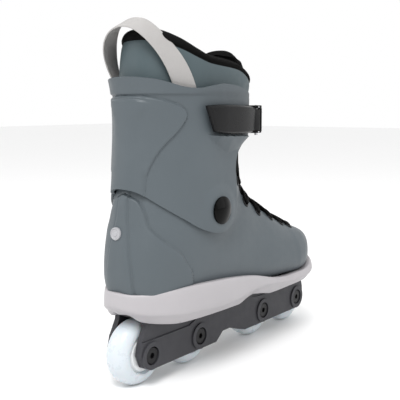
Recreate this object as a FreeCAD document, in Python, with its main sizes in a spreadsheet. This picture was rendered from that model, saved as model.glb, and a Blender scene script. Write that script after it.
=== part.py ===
"""Right-hand aggressive inline skate: hard boot, hinged cuff, soft liner, four-wheel frame.

Frame of the model: +X points to the toe, +Y to the inner (left) side, +Z up.
The origin is on the ground, in the frame's mid-plane, halfway between the axles.
"""
import FreeCAD, Part
import math
import os
import Sketcher
from FreeCAD import Placement, Rotation, Vector

DIMENSIONS = {
    "wheel_radius": 29.5, "wheel_half": 12.0, "tyre_shoulder": 9.0, "core_radius": 17.0,
    "core_half": 11.5, "bearing_radius": 11.0, "bearing_width": 7.0, "spacer_half": 5.0,
    "spacer_radius": 6.0, "bore_radius": 4.05, "web_radius": 8.0,
    "axle_radius": 4.0, "axle_head": 7.75, "head_seat": 17.5, "head_top": 21.0,
    "thread_radius": 2.5, "socket_radius": 2.9, "socket_depth": 2.4,
    "inner_axle": 55.0, "outer_axle": 124.3,
    "frame_half": 20.5, "panel_half": 19.3, "panel_line": 43.5, "boss_half": 22.0, "boss_radius": 12.5, "counterbore": 8.3,
    "well_half": 14.0, "hub_face": 12.2, "hub_boss": 7.5, "frame_top": 64.5, "well_top": 61.0,
    "groove_rear": -17.0, "groove_front": -5.0, "groove_top": 24.5, "frame_bottom": 15.9, "block_half": 23.0,
    "mount_bolt": 83.5, "bolt_radius": 3.0, "bolt_head": 5.0, "bolt_length": 18.0,
    "pivot_x": -64.0, "pivot_z": 154.0, "pivot_radius": 5.0, "pivot_cap": 12.5,
    "pivot_clearance": 0.06, "shell_wall": 3.5, "cuff_wall": 3.2, "foam": 8.5,
    "lace_radius": 1.7, "loop_width": 22.0, "loop_thickness": 2.2,
    "lever_pin": 1.5, "lever_hinge_x": -6.0, "lever_hinge_y": -50.0, "buckle_z": 233.0,
}
SIDE = (("right", -1), ("left", 1))
AXLES = ("outer_axle", 1), ("inner_axle", 1), ("inner_axle", -1), ("outer_axle", -1)

doc = FreeCAD.newDocument("InlineSkate")
sheet = doc.addObject("Spreadsheet::Sheet", "Dimensions")
for row, (alias, value) in enumerate(DIMENSIONS.items(), 1):
    sheet.set("A%d" % row, alias)
    sheet.set("B%d" % row, str(value))
    sheet.setAlias("B%d" % row, alias)
doc.recompute()
sub_parts = []


# ---------------------------------------------------------------- modelling helpers

def size(expression):
    """Value of an expression written with the sheet's aliases."""
    return float(sheet.evalExpression(expression))


def bound(expression):
    """The same expression as another object has to write it."""
    for alias in sorted(DIMENSIONS, key=len, reverse=True):
        expression = expression.replace(alias, "Dimensions." + alias)
    return expression.replace("Dimensions.Dimensions.", "Dimensions.")


def keep(item, label, base=(0, 0, 0), rotation=None):
    """Register a finished sub-part under the name of its file and place it."""
    item.Label = label
    item.Placement = Placement(Vector(*base), rotation or Rotation())
    sub_parts.append(item)
    return item


def keep_shape(shape, label, base=(0, 0, 0), rotation=None):
    """Register a shape built with Part's own functions."""
    feature = doc.addObject("Part::Feature", label)
    feature.Shape = shape
    return keep(feature, label, base, rotation)


def sketch_on(body, role, offset="0"):
    plane = next(item for item in body.Origin.OriginFeatures if item.Role == role)
    sketch = body.newObject("Sketcher::SketchObject", "Sketch")
    sketch.AttachmentSupport = [(plane, "")]
    sketch.MapMode = "FlatFace"
    sketch.AttachmentOffset = Placement(Vector(0, 0, size(offset)), Rotation())
    if offset != "0":
        sketch.setExpression("AttachmentOffset.Base.z", bound(offset))
    return sketch


def polygon(sketch, corners):
    """Closed outline whose corners are bound to the sheet, given as pairs of expressions."""
    places = [Vector(size(str(a)), size(str(b)), 0) for a, b in corners]
    count = len(places)
    first = sketch.GeometryCount
    for index in range(count):
        sketch.addGeometry(Part.LineSegment(places[index], places[(index + 1) % count]), False)
    for index in range(count):
        follower = first + (index + 1) % count
        sketch.addConstraint(Sketcher.Constraint("Coincident", first + index, 2, follower, 1))
    for index, corner in enumerate(corners):
        for kind, text, value in zip(("DistanceX", "DistanceY"), corner, places[index]):
            datum = sketch.addConstraint(
                Sketcher.Constraint(kind, -1, 1, first + index, 1, value))
            if not str(text).replace(".", "").replace("-", "").isdigit():
                sketch.setExpression("Constraints[%d]" % datum, bound(str(text)))


def circle(sketch, radius, x="0", y="0"):
    """Circle whose radius and centre are bound to the sheet."""
    centre = Vector(size(x), size(y), 0)
    index = sketch.addGeometry(Part.Circle(centre, Vector(0, 0, 1), size(radius)), False)
    datum = sketch.addConstraint(Sketcher.Constraint("Radius", index, size(radius)))
    sketch.setExpression("Constraints[%d]" % datum, bound(radius))
    for kind, text, value in (("DistanceX", x, centre.x), ("DistanceY", y, centre.y)):
        datum = sketch.addConstraint(Sketcher.Constraint(kind, -1, 1, index, 3, value))
        if text != "0":
            sketch.setExpression("Constraints[%d]" % datum, bound(text))


def new_body(name):
    return doc.addObject("PartDesign::Body", name)


def pad(body, sketch, length, both_ways=False, reverse=False):
    feature = body.newObject("PartDesign::Pad", "Pad")
    feature.Profile = sketch
    feature.setExpression("Length", bound(length))
    feature.Midplane = both_ways
    feature.Reversed = reverse
    return feature


def pocket(body, sketch, length, both_ways=False, reverse=False):
    feature = body.newObject("PartDesign::Pocket", "Pocket")
    feature.Profile = sketch
    feature.setExpression("Length", bound(length))
    feature.Midplane = both_ways
    feature.Reversed = reverse
    return feature


def turned(name, corners):
    """Body turned about its own Z axis; the corners are (radius, height) pairs."""
    body = new_body(name)
    sketch = sketch_on(body, "XZ_Plane")
    polygon(sketch, corners)
    turn = body.newObject("PartDesign::Revolution", "Revolution")
    turn.Profile = sketch
    turn.ReferenceAxis = (sketch, ["V_Axis"])
    turn.Angle = 360
    doc.recompute()
    return body


def hex_socket(body, top):
    """Hexagon socket sunk into a head whose upper face is at the given height."""
    sketch = sketch_on(body, "XY_Plane", top)
    reach = size("socket_radius")
    turns = [math.radians(60 * step) for step in range(6)]
    polygon(sketch, [("%.4f" % (reach * math.cos(a)), "%.4f" % (reach * math.sin(a))) for a in turns])
    pocket(body, sketch, "socket_depth")
    doc.recompute()


def soften(body, radius, chosen):
    """Fillet every edge that the test picks."""
    doc.recompute()
    base = body.Tip
    names = ["Edge%d" % n for n, edge in enumerate(base.Shape.Edges, 1) if chosen(edge)]
    fillet = body.newObject("PartDesign::Fillet", "Fillet")
    fillet.Base = (base, names)
    fillet.Radius = radius
    doc.recompute()


def skin(rings):
    """Solid under a smooth surface through closed rings of points, with flat ends."""
    surface = Part.BSplineSurface()
    surface.interpolate(rings)
    start, end = surface.bounds()[0:2]
    caps = [Part.Face(Part.Wire(surface.uIso(value).toShape())) for value in (start, end)]
    shell = Part.makeShell([surface.toShape()] + caps)
    shell.sewShape()
    solid = Part.Solid(Part.Shell(shell.Faces))
    if solid.Volume < 0:
        solid.reverse()
    return solid


def slab(outline, low_y=-90.0, high_y=90.0):
    """Prism across the skate: an (X, Z) outline carried from one side to the other."""
    points = [Vector(x, low_y, z) for x, z in outline]
    face = Part.Face(Part.makePolygon(points + points[:1]))
    return face.extrude(Vector(0, high_y - low_y, 0))


def block(x, y, z):
    """Box between the limits (low, high) on each axis."""
    return Part.makeBox(x[1] - x[0], y[1] - y[0], z[1] - z[0], Vector(x[0], y[0], z[0]))


def biggest(shape):
    return max(shape.Solids, key=lambda solid: solid.Volume)


def rod(start, end, radius):
    axis = Vector(*end) - Vector(*start)
    return Part.makeCylinder(radius, axis.Length, Vector(*start), axis)


def pivot_hole(radius):
    """Bore across the skate on the cuff's pivot axis."""
    x, z = size("pivot_x"), size("pivot_z")
    return rod((x, -90, z), (x, 90, z), radius)


# ---------------------------------------------------------------- wheels

def wheel_parts(number, x):
    """Tyre, hub, bearing pair and spacer; each is turned about Z, then laid along Y."""
    place = (x, 0, size("wheel_radius"))
    lay = Rotation(Vector(1, 0, 0), -90)
    tyre = turned("Tyre%d" % number, (
        ("core_radius", "-tyre_shoulder"), ("core_radius + 1.5", "-wheel_half"),
        ("wheel_radius", "-wheel_half"), ("wheel_radius", "wheel_half"),
        ("core_radius + 1.5", "wheel_half"), ("core_radius", "tyre_shoulder")))
    rim = size("wheel_radius")
    soften(tyre, 10.5, lambda edge: edge.BoundBox.XLength > 2 * rim - 0.1 and edge.Length > 100)
    keep(tyre, "tyre_%d" % number, place, lay)
    hub = turned("Hub%d" % number, (
        ("bearing_radius", "-core_half"), ("core_radius - 2", "-core_half"),
        ("core_radius", "-tyre_shoulder"), ("core_radius", "tyre_shoulder"),
        ("core_radius - 2", "core_half"), ("bearing_radius", "core_half"),
        ("bearing_radius", "spacer_half"), ("web_radius", "spacer_half"),
        ("web_radius", "-spacer_half"), ("bearing_radius", "-spacer_half")))
    keep(hub, "hub_%d" % number, place, lay)
    pair = [bearing(sign) for sign in (-1, 1)]
    keep(doc_group(pair, "Bearings%d" % number), "bearings_%d" % number, place, lay)
    spacer = turned("Spacer%d" % number, (
        ("bore_radius", "-spacer_half"), ("spacer_radius", "-spacer_half"),
        ("spacer_radius", "spacer_half"), ("bore_radius", "spacer_half")))
    keep(spacer, "bearing_spacer_%d" % number, place, lay)


def bearing(sign):
    """One sealed 608 bearing: a ring with a shallow shield groove on each face."""
    low = size("spacer_half")
    high = low + size("bearing_width")
    outer = Part.makeCylinder(size("bearing_radius"), high - low, Vector(0, 0, low))
    ring = outer.cut(Part.makeCylinder(size("bore_radius"), 30, Vector(0, 0, -5)))
    for face in (low - 0.6, high - 0.6):
        groove = Part.makeCylinder(9.2, 1.2, Vector(0, 0, face))
        ring = ring.cut(groove.cut(Part.makeCylinder(6.0, 1.2, Vector(0, 0, face))))
    return ring if sign > 0 else ring.mirror(Vector(0, 0, 0), Vector(0, 0, 1))


def doc_group(solids, name):
    """Several equal solids kept in one sub-part."""
    feature = doc.addObject("Part::Feature", name)
    feature.Shape = Part.makeCompound(solids)
    return feature


# ---------------------------------------------------------------- frame and its hardware

def frame_body():
    """Walls with raised axle bosses, wheel wells, a solid grind block and round ends."""
    body = new_body("Frame")
    side = sketch_on(body, "XZ_Plane")
    polygon(side, (
        ("-128", "frame_top"), ("-129", "57"), ("-136", "44"), ("-139", "32"), ("-134", "20"),
        ("-122", "frame_bottom"), ("-28.5", "frame_bottom"), ("groove_rear", "groove_top"),
        ("groove_front", "groove_top"), ("22", "frame_bottom"), ("130", "frame_bottom"),
        ("140", "24"), ("139", "40"), ("131", "frame_top")))
    pad(body, side, "2 * frame_half", both_ways=True)
    corner_x = (-129, -136, -139, -134, -122, -28.5, 22, 130, 140, 139)
    soften(body, 4.0, lambda edge: across(edge) and
           any(abs(edge.CenterOfMass.x - x) < 0.2 for x in corner_x))
    half = size("frame_half")
    soften(body, 1.6, lambda edge: abs(abs(edge.CenterOfMass.y) - half) < 0.01)
    for outward in (False, True):
        panel = sketch_on(body, "XZ_Plane", ("-" if outward else "") + "panel_half")
        polygon(panel, (("-155", "panel_line"), ("-71", "panel_line"), ("-62", "47"), ("-58", "53"),
                        ("-58", "60"), ("-155", "60")))
        polygon(panel, (("30", "53"), ("36", "48"), ("47", "panel_line + 3"), ("76", "panel_line + 3"),
                        ("86", "50"), ("90", "60"), ("30", "60")))
        pocket(body, panel, "10", reverse=not outward)
    rings = sketch_on(body, "XZ_Plane")
    for alias, sign in AXLES:
        circle(rings, "boss_radius", "%d * %s" % (sign, alias), "wheel_radius")
    pad(body, rings, "2 * boss_half", both_ways=True)
    for low, high in (("block_half", "165"), ("-165", "-block_half")):
        well = sketch_on(body, "XZ_Plane")
        polygon(well, ((low, "0"), (high, "0"), (high, "well_top"), (low, "well_top")))
        pocket(body, well, "2 * well_half", both_ways=True)
    doc.recompute()
    for alias, sign in AXLES:
        x = "%d * %s" % (sign, alias)
        for outward in (False, True):
            hub_boss = sketch_on(body, "XZ_Plane", ("-" if outward else "") + "hub_face")
            circle(hub_boss, "hub_boss", x, "wheel_radius")
            pad(body, hub_boss, "well_half - hub_face + 1", reverse=outward)
            seat = sketch_on(body, "XZ_Plane", ("-" if outward else "") + "head_seat")
            circle(seat, "counterbore", x, "wheel_radius")
            pocket(body, seat, "10", reverse=not outward)
    bores = sketch_on(body, "XZ_Plane")
    for alias, sign in AXLES:
        circle(bores, "axle_radius", "%d * %s" % (sign, alias), "wheel_radius")
    pocket(body, bores, "60", both_ways=True)
    holes = sketch_on(body, "XY_Plane", "well_top - 1")
    for sign in (-1, 1):
        circle(holes, "bolt_radius", "%d * mount_bolt" % sign)
    pocket(body, holes, "10", reverse=True)
    doc.recompute()
    keep(body, "frame")


def across(edge):
    """True for a straight edge that runs across the skate."""
    box = edge.BoundBox
    return box.YLength > 10 and box.XLength < 0.01 and box.ZLength < 0.01


def axle_parts(number, x):
    """Headed barrel from the outer side and the screw that closes it from the inner side."""
    place = (x, 0, size("wheel_radius"))
    barrel = turned("Axle%d" % number, (
        ("0", "head_top"), ("axle_head - 0.8", "head_top"), ("axle_head", "head_top - 0.8"),
        ("axle_head", "head_seat"), ("axle_radius", "head_seat"), ("axle_radius", "-17.3"),
        ("thread_radius", "-17.3"), ("thread_radius", "4"), ("0", "4")))
    hex_socket(barrel, "head_top")
    keep(barrel, "axle_%d" % number, place, Rotation(Vector(1, 0, 0), 90))
    screw = turned("AxleScrew%d" % number, (
        ("0", "head_top"), ("axle_head - 0.8", "head_top"), ("axle_head", "head_top - 0.8"),
        ("axle_head", "head_seat"), ("thread_radius", "head_seat"), ("thread_radius", "-2"),
        ("0", "-2")))
    hex_socket(screw, "head_top")
    keep(screw, "axle_screw_%d" % number, place, Rotation(Vector(1, 0, 0), -90))


NUT_TOP = 69.5


def nut_block(x):
    """Outside of one square nut that lies in the plate and the shell's floor."""
    return block((x - 6, x + 6), (-6, 6), (65.0, NUT_TOP))


def bolt_room():
    """Pockets for the nuts and holes for the bolts."""
    rooms = []
    for sign in (-1, 1):
        x = sign * size("mount_bolt")
        rooms.append(nut_block(x).fuse(rod((x, 0, 60), (x, 0, NUT_TOP + 1), size("bolt_radius"))))
    return Part.makeCompound(rooms)


def mounting_bolts():
    """Frame bolts up through the top plate, and the square nuts held in the sole plate."""
    radius, head, top = size("bolt_radius"), size("bolt_head"), size("well_top")
    bolts = []
    nuts = []
    for sign in (-1, 1):
        x = sign * size("mount_bolt")
        shank = rod((x, 0, top), (x, 0, NUT_TOP + 1), radius)
        cap = rod((x, 0, top - 5), (x, 0, top), head)
        socket = rod((x, 0, top - 5), (x, 0, top - 2.5), 2.5)
        bolts.append(shank.fuse(cap).cut(socket).removeSplitter())
        nuts.append(nut_block(x).cut(rod((x, 0, 60), (x, 0, 80), radius)))
    keep(doc_group(bolts, "FrameBolts"), "frame_bolts")
    keep(doc_group(nuts, "FrameNuts"), "frame_nuts")


# ---------------------------------------------------------------- boot

# Half outlines of a cross-section: (depth from the top, width), both as shares.
FOOT_SECTION = ((0, 0), (0.05, 0.36), (0.22, 0.74), (0.52, 0.97), (0.82, 1.0), (0.975, 0.8), (1.0, 0.4))
LEG_SECTION = ((0, 0), (0.035, 0.36), (0.18, 0.74), (0.42, 1.0), (0.70, 0.94), (0.90, 0.66), (0.985, 0.30))

# Toe sections: X, top, bottom, right half, left half, sideways shift.
TOE = ((137, 92, 72, 14, 14, 4), (130, 104, 70, 25, 26, 4), (118, 111, 69, 35, 34, 3),
       (101, 117, 68.5, 43, 40, 1), (86, 124, 68, 47, 43, 0), (75, 129.5, 68, 48, 44, 0))
# Sections fanned round the instep: angle, inner reach, outer reach, right half, left half, leg share.
FAN_CENTRE = (75.0, 205.0)
FAN = ((18, 66, 143, 47, 44, 0.05), (35, 64.3, 167, 45, 42, 0.2), (48, 63.5, 204, 45, 42, 0.4),
       (56, 64, 241, 45, 42, 0.55), (61, 65, 247, 45.5, 43, 0.7), (67, 66, 239, 46.5, 45.0, 0.8),
       (74, 68, 224, 46.8, 46.5, 0.9), (80, 69, 214.5, 46.5, 46.5, 1.0), (86, 70, 203.5, 43.5, 43.5, 1.0),
       (91, 71, 202, 42.5, 42.5, 1.0))


def section_ring(top, bottom, right, left, shift, leg, inset):
    """Closed ring in the plane of one section, shrunk inwards by the inset."""
    down = Vector(bottom[0] - top[0], 0, bottom[1] - top[1])
    height = down.Length - 2 * inset
    down.normalize()
    start = Vector(top[0], 0, top[1]) + down * inset
    half = [((1 - leg) * a[0] + leg * b[0], (1 - leg) * a[1] + leg * b[1])
            for a, b in zip(FOOT_SECTION, LEG_SECTION)]

    def place(depth, across_share, width, sign):
        offset = Vector(0, shift + sign * across_share * (width - inset), 0)
        return start + down * (depth * height) + offset

    bottom_point = place(1.0, 0, left, 1)
    rising = [place(d, w, left, 1) for d, w in reversed(half)]
    falling = [place(d, w, right, -1) for d, w in half[1:]]
    return [bottom_point] + rising + falling + [bottom_point]


def boot_solid(inset, heel_inset=None):
    """Foot and ankle volume, the inset growing from the foot's to the heel's towards the leg."""
    heel_inset = inset if heel_inset is None else heel_inset
    rings = []
    for x, high, low, right, left, shift in TOE:
        nose = inset * max(0.0, (x - 101.0) / 36.0)
        rings.append(section_ring((x - nose, high), (x - nose, low), right, left, shift, 0.0, inset))
    for angle, near, far, right, left, leg in FAN:
        turn = math.radians(angle)
        ray = Vector(-math.sin(turn), 0, -math.cos(turn))
        top = (FAN_CENTRE[0] + near * ray.x, FAN_CENTRE[1] + near * ray.z)
        low = (FAN_CENTRE[0] + far * ray.x, FAN_CENTRE[1] + far * ray.z)
        here = inset + (heel_inset - inset) * leg
        rings.append(section_ring(top, low, right, left, 0, leg, here))
    return skin(rings)


SHELL_TOP = ((-170, 60), (170, 60), (170, 170), (24, 203), (-14, 203), (-50, 188), (-170, 188))
INSTEP_SLOT = ((104, 90), (98, 150), (40, 230), (-12, 230), (-12, 196), (8, 165), (60, 118), (84, 108))
SLOT_HALF = 19.0


def tongue_zone(half=SLOT_HALF):
    return slab(INSTEP_SLOT, -half, half)


def boot_parts():
    wall = size("shell_wall")
    outer = boot_solid(0)
    inner = boot_solid(wall)
    upper = slab(SHELL_TOP)
    slot = tongue_zone()
    pivot_holes = pivot_hole(size("pivot_radius"))
    shell = outer.cut(inner).common(upper).cut(slot).cut(pivot_holes)
    shell = shell.cut(lace_slots()).cut(pivot_heads(0.0, NUT_FACE))
    sole = sole_plate(outer)
    screws, holes = sole_screws()
    holes = holes.fuse(bolt_room())
    keep_shape(biggest(shell).cut(holes), "boot_shell")
    keep_shape(sole.cut(holes), "sole_plate")
    keep_shape(screws, "sole_screws")
    soft = boot_solid(wall + 0.4, wall + 0.8)
    foam = size("foam")
    cavity = boot_solid(wall + foam, wall + foam)
    liner_top = slab(((-170, 60), (170, 60), (170, 170), (22, 203), (-14, 201), (-50, 184), (-170, 184)))
    footbed = cavity.common(block((-160, 160), (-60, 60), (60, 83)))
    lining = soft.cut(cavity).common(liner_top).cut(tongue_zone(SLOT_HALF + 3)).cut(pivot_heads(0.4, 60.0))
    keep_shape(biggest(lining).cut(holes), "liner_boot")
    keep_shape(biggest(footbed), "footbed")
    padding = boot_solid(2.6).cut(boot_solid(wall + foam)).common(tongue_zone(SLOT_HALF - 0.4))
    padding = padding.common(slab(((170, 60), (170, 170), (20, 201), (-14, 198), (-14, 60))))
    laces = lace()
    keep_shape(biggest(padding.cut(laces)), "tongue_lower")
    keep_shape(laces, "laces")


def sole_plate(boot):
    """Thick base: long rounded plan, wavy top line, side notch, recess for the frame's top."""
    nose = Part.Arc(Vector(104, -49, 0), Vector(147, 2, 0), Vector(104, 48, 0))
    heel = Part.Arc(Vector(-112, 49, 0), Vector(-152, 0, 0), Vector(-112, -50, 0))
    left = Part.Arc(Vector(104, 48, 0), Vector(0, 50, 0), Vector(-112, 49, 0))
    right = Part.Arc(Vector(-112, -50, 0), Vector(0, -53, 0), Vector(104, -49, 0))
    plan = Part.Wire([curve.toShape() for curve in (nose, left, heel, right)])
    foot = plan.makeOffset2D(-6.5)
    foot.translate(Vector(0, 0, 54))
    rim = plan.translated(Vector(0, 0, 74))
    base = Part.makeLoft([foot, rim], True, True).fuse(Part.Face(rim).extrude(Vector(0, 0, 60)))
    side = slab(((-154, 96), (-154, 70), (-146, 63), (-126, 57), (-22, 57), (-8, 62), (6, 64), (20, 61),
                 (34, 57), (104, 57), (126, 62), (149, 75), (149, 85), (140, 82), (110, 79.5), (80, 77),
                 (25, 78), (-3, 83), (-40, 89), (-66, 92), (-100, 94)))
    recess = block((-154, 131.3), (-20.8, 20.8), (50, size("frame_top")))
    return biggest(base.common(side).cut(boot).cut(recess))


def sole_screws():
    """Six screws up through the plate's thick sides into the shell."""
    screws = []
    holes = []
    for x, y in ((-105, 34), (-105, -34), (-35, 36), (-35, -36), (62, 36), (62, -36)):
        shank = rod((x, y, 61.5), (x, y, 72), 2.0)
        screws.append(rod((x, y, 58.5), (x, y, 61.5), 4.5).fuse(shank))
        holes.append(rod((x, y, 50), (x, y, 61.5), 4.5).fuse(shank))
    return Part.makeCompound(screws), Part.makeCompound(holes)


# ---------------------------------------------------------------- laces

# Eyelet rows up the instep: X and Z of the row's middle, at the shell's surface.
LACE_ROWS = ((88, 121), (72, 129.5), (55, 141), (39, 153.5), (27, 167.5), (16, 184))
LACE_SIDE = 23.0


def row_frame(index):
    """Unit vectors at one row: out of the instep, and up along it."""
    before = LACE_ROWS[max(index - 1, 0)]
    after = LACE_ROWS[min(index + 1, len(LACE_ROWS) - 1)]
    along = Vector(after[0] - before[0], 0, after[1] - before[1])
    along.normalize()
    return Vector(along.z, 0, -along.x), along


def lace_point(index, y, lift, shift=0.0):
    normal, along = row_frame(index)
    x, z = LACE_ROWS[index]
    return Vector(x, y, z) + normal * lift + along * shift


def lace_slots():
    """Openings in the flaps where each turn of the lace dips through."""
    cuts = []
    for index in range(len(LACE_ROWS)):
        for _, sign in SIDE:
            low = lace_point(index, sign * LACE_SIDE, -8, -6)
            high = lace_point(index, sign * LACE_SIDE, -8, 6)
            normal = row_frame(index)[0]
            face = Part.Face(Part.makePolygon([
                low - Vector(0, 3.5, 0), low + Vector(0, 3.5, 0),
                high + Vector(0, 3.5, 0), high - Vector(0, 3.5, 0), low - Vector(0, 3.5, 0)]))
            cuts.append(face.extrude(normal * 16))
    return Part.makeCompound(cuts)


def rounded_path(points):
    """Straight runs joined by tangent arcs, each as large as its two runs allow."""
    edges = []
    start = points[0]
    for before, corner, after in zip(points, points[1:], points[2:]):
        back = (before - corner)
        ahead = (after - corner)
        run = 0.45 * min(back.Length, ahead.Length)
        back.normalize()
        ahead.normalize()
        half_turn = (math.pi - back.getAngle(ahead)) / 2
        radius = run / math.tan(half_turn)
        middle = (back + ahead).normalize()
        centre = corner + middle * (radius / math.cos(half_turn))
        entry = corner + back * run
        leave = corner + ahead * run
        edges.append(Part.LineSegment(start, entry).toShape())
        edges.append(Part.Arc(entry, centre - middle * radius, leave).toShape())
        start = leave
        lace_radii.append(radius)
    edges.append(Part.LineSegment(start, points[-1]).toShape())
    return Part.Wire(edges)


lace_radii = []


def lace():
    """One lace: up one side in a zigzag from the lowest row, and back over it to the other."""
    low, high, dip = 5.6, 9.6, 0.0
    rows = len(LACE_ROWS)
    route = []
    for index in range(rows - 1, -1, -1):
        sign = 1 if (rows - 1 - index) % 2 else -1
        route += turn_points(index, sign, dip)
        if index:
            route.append(crossing(index, low))
    for index in range(rows):
        sign = 1 if (rows - 1 - index) % 2 == 0 else -1
        route += reversed(turn_points(index, sign, dip))
        if index < rows - 1:
            route.append(crossing(index + 1, high))
    path = rounded_path(route)
    section = Part.Wire(Part.Circle(path.Vertexes[0].Point, route[1] - route[0],
                                    size("lace_radius")).toShape())
    tube = path.makePipeShell([section], True, False)
    expected = math.pi * size("lace_radius") ** 2 * path.Length
    print("lace: length %.0f mm, least radius %.1f mm, volume %.3f of section times length"
          % (path.Length, min(lace_radii), tube.Volume / expected))
    return tube


def turn_points(index, sign, dip):
    """The two points of the turn round one eyelet, the upper one first."""
    return [lace_point(index, sign * LACE_SIDE, dip, shift) for shift in (3.6, -3.6)]


def crossing(index, lift):
    """Point over the tongue, halfway between a row and the row below it."""
    upper = lace_point(index, 0, lift)
    lower = lace_point(index - 1, 0, lift)
    return (upper + lower) * 0.5


# ---------------------------------------------------------------- cuff and what it carries

# Cuff sections, evenly spaced: height, rear X, front X, half-width.
CUFF = ((120, -141, 22, 51.5), (140, -141, 22, 51.8), (160, -140.3, 22, 51.8), (180, -139, 22, 50.8),
        (200, -137, 22, 49.0), (220, -135.5, 22, 48.3), (240, -135, 22, 49.0), (260, -136.8, 22, 51.0),
        (280, -143.5, 22, 56.0))
# Liner collar sections.
COLLAR = ((188, -123, 12, 40.0), (204, -123.5, 13, 40.5), (220, -124, 14, 41.0), (236, -124, 18, 41.0),
          (252, -124, 27, 41.0), (268, -123.5, 34, 41.0), (284, -122, 30, 40.5), (300, -119.5, 16, 39.5),
          (316, -116, 2, 38.0))
SECTION_POWER = 2.5
# The collar is rounder at the back than the cuff.
COLLAR_BACK_POWER = 2.2


def leg_ring(z, rear, front, half, inset, back_power, centre=-61.5):
    """Closed rounded ring at one height, from the rear point round and back to it."""
    ring = []
    for step in range(17):
        turn = math.pi + step * math.pi / 8
        power = SECTION_POWER if math.cos(turn) > 0 else back_power
        along = math.copysign(abs(math.cos(turn)) ** (2 / power), math.cos(turn))
        aside = math.copysign(abs(math.sin(turn)) ** (2 / power), math.sin(turn))
        reach = (front - centre) if along > 0 else (centre - rear)
        ring.append(Vector(centre + along * (reach - inset), aside * (half - inset), z))
    ring[-1] = ring[0]
    return ring


def leg_solid(sections, inset, back_power=SECTION_POWER):
    return skin([leg_ring(*section, inset, back_power) for section in sections])


CUFF_OUTLINE = ((-150, 181), (-137, 178), (-131, 167), (-123, 159), (-108, 149), (-92, 141), (-76, 135.5),
                (-64, 134), (-52, 136.5), (-43, 144), (-39, 155), (-38, 190), (-32, 203), (-14, 214),
                (0, 220), (-1, 252), (-10, 258), (-40, 264), (-62, 265), (-90, 262), (-120, 267),
                (-134, 270), (-150, 270))


def cuff_parts():
    wall = size("cuff_wall")
    outer = leg_solid(CUFF, 0)
    inner = leg_solid(CUFF, wall)
    cuff = outer.cut(inner).common(slab(CUFF_OUTLINE))
    front = block((-39, 40), (-30, 30), (120, 300))
    cuff = biggest(cuff.cut(front))
    for _, sign in SIDE:
        cuff = cuff.fuse(pivot_disc(sign, 48.9, PIVOT_FACE, 17.0))
    cuff = cuff.cut(pivot_hole(size("pivot_radius") + size("pivot_clearance")))
    holes = Part.makeCompound([buckle_rivets(), strap_anchor(), loop_rivets()])
    cuff = cuff.cut(holes)
    keep_shape(cuff, "cuff_shell")
    foam = size("foam")
    collar_outer = leg_solid(COLLAR, 0, COLLAR_BACK_POWER)
    collar_inner = leg_solid(COLLAR, foam, COLLAR_BACK_POWER)
    ring = collar_outer.cut(collar_inner)
    ring = ring.cut(outer.cut(inner)).cut(loop_solid()).cut(holes)
    tongue_box = block((-12, 70), (-27, 27), (180, 330))
    keep_shape(biggest(ring.common(slab(COLLAR_SIDE)).cut(tongue_box)), "liner_collar")
    keep_shape(biggest(ring.common(slab(TONGUE_SIDE)).common(tongue_box)), "tongue_upper")


COLLAR_SIDE = ((-170, 195), (-130, 195), (14, 229), (60, 240), (60, 261), (30, 261), (20, 270), (5, 279),
               (-12, 285), (-30, 287.5), (-50, 288), (-67, 289), (-82, 294), (-95, 299.5), (-109, 305),
               (-118, 309), (-170, 311))
TONGUE_SIDE = ((-20, 216), (14, 229), (60, 240), (60, 302), (-20, 300))


PIVOT_FACE = 52.2
NUT_FACE = 42.5


def pivot_disc(sign, low, high, radius):
    """Disc on the pivot axis between two distances from the mid-plane."""
    x, z = size("pivot_x"), size("pivot_z")
    return rod((x, sign * low, z), (x, sign * high, z), radius)


def pivot_pins():
    """Cuff bolts: domed cap outside the cuff, barrel through cuff and shell, flat nut inside."""
    face = PIVOT_FACE + 0.2
    bulge = 30.0
    for name, sign in SIDE:
        centre = Vector(size("pivot_x"), sign * (face + 4.2 - bulge), size("pivot_z"))
        head = pivot_disc(sign, face, face + 5, size("pivot_cap")).common(Part.makeSphere(bulge, centre))
        barrel = pivot_disc(sign, NUT_FACE, face, size("pivot_radius"))
        keep_shape(barrel.fuse(head).removeSplitter(), "cuff_bolt_%s" % name)
        keep_shape(pivot_disc(sign, NUT_FACE - 2.5, NUT_FACE, 9.0), "cuff_nut_%s" % name)


def pivot_heads(gap, reach):
    """Room for the cuff bolts' inner ends, out to a distance from the mid-plane."""
    return Part.makeCompound([pivot_disc(sign, 38.0, reach, 9.0 + gap) for _, sign in SIDE])


LOOP_FOOT = (-92.0, 0.0, 254.0)
LOOP_LEAN = -26.0
LOOP_STRAIGHT = 26.0
LOOP_CROWN = 43.0


def loop_outline(half, crown):
    """Arch of two straight legs and a tall half ellipse, closed along the bottom."""
    left, right = Vector(0, half, 0), Vector(0, -half, 0)
    rise = Vector(0, 0, LOOP_STRAIGHT)
    ellipse = Part.Ellipse(rise + Vector(0, 0, crown), right + rise, rise)
    edges = [Part.LineSegment(left, left + rise),
             Part.ArcOfEllipse(ellipse, -math.pi / 2, math.pi / 2),
             Part.LineSegment(right + rise, right),
             Part.LineSegment(right, left)]
    return Part.Wire(Part.__sortEdges__([edge.toShape() for edge in edges]))


def loop_arch():
    """Pull loop before it is leaned back: flat webbing bent into a tall arch."""
    inner = 39.4
    width = Vector(size("loop_width"), 0, 0)
    thick = size("loop_thickness")
    outside = Part.Face(loop_outline(inner + thick, LOOP_CROWN + thick)).extrude(width)
    arch = outside.cut(Part.Face(loop_outline(inner, LOOP_CROWN)).extrude(width))
    return arch.translated(width * -0.5)


def loop_solid():
    """The arch leaned back in its place."""
    arch = loop_arch()
    lean = Rotation(Vector(0, 1, 0), LOOP_LEAN)
    arch.Placement = Placement(Vector(*LOOP_FOOT), lean).multiply(arch.Placement)
    return arch


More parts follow.
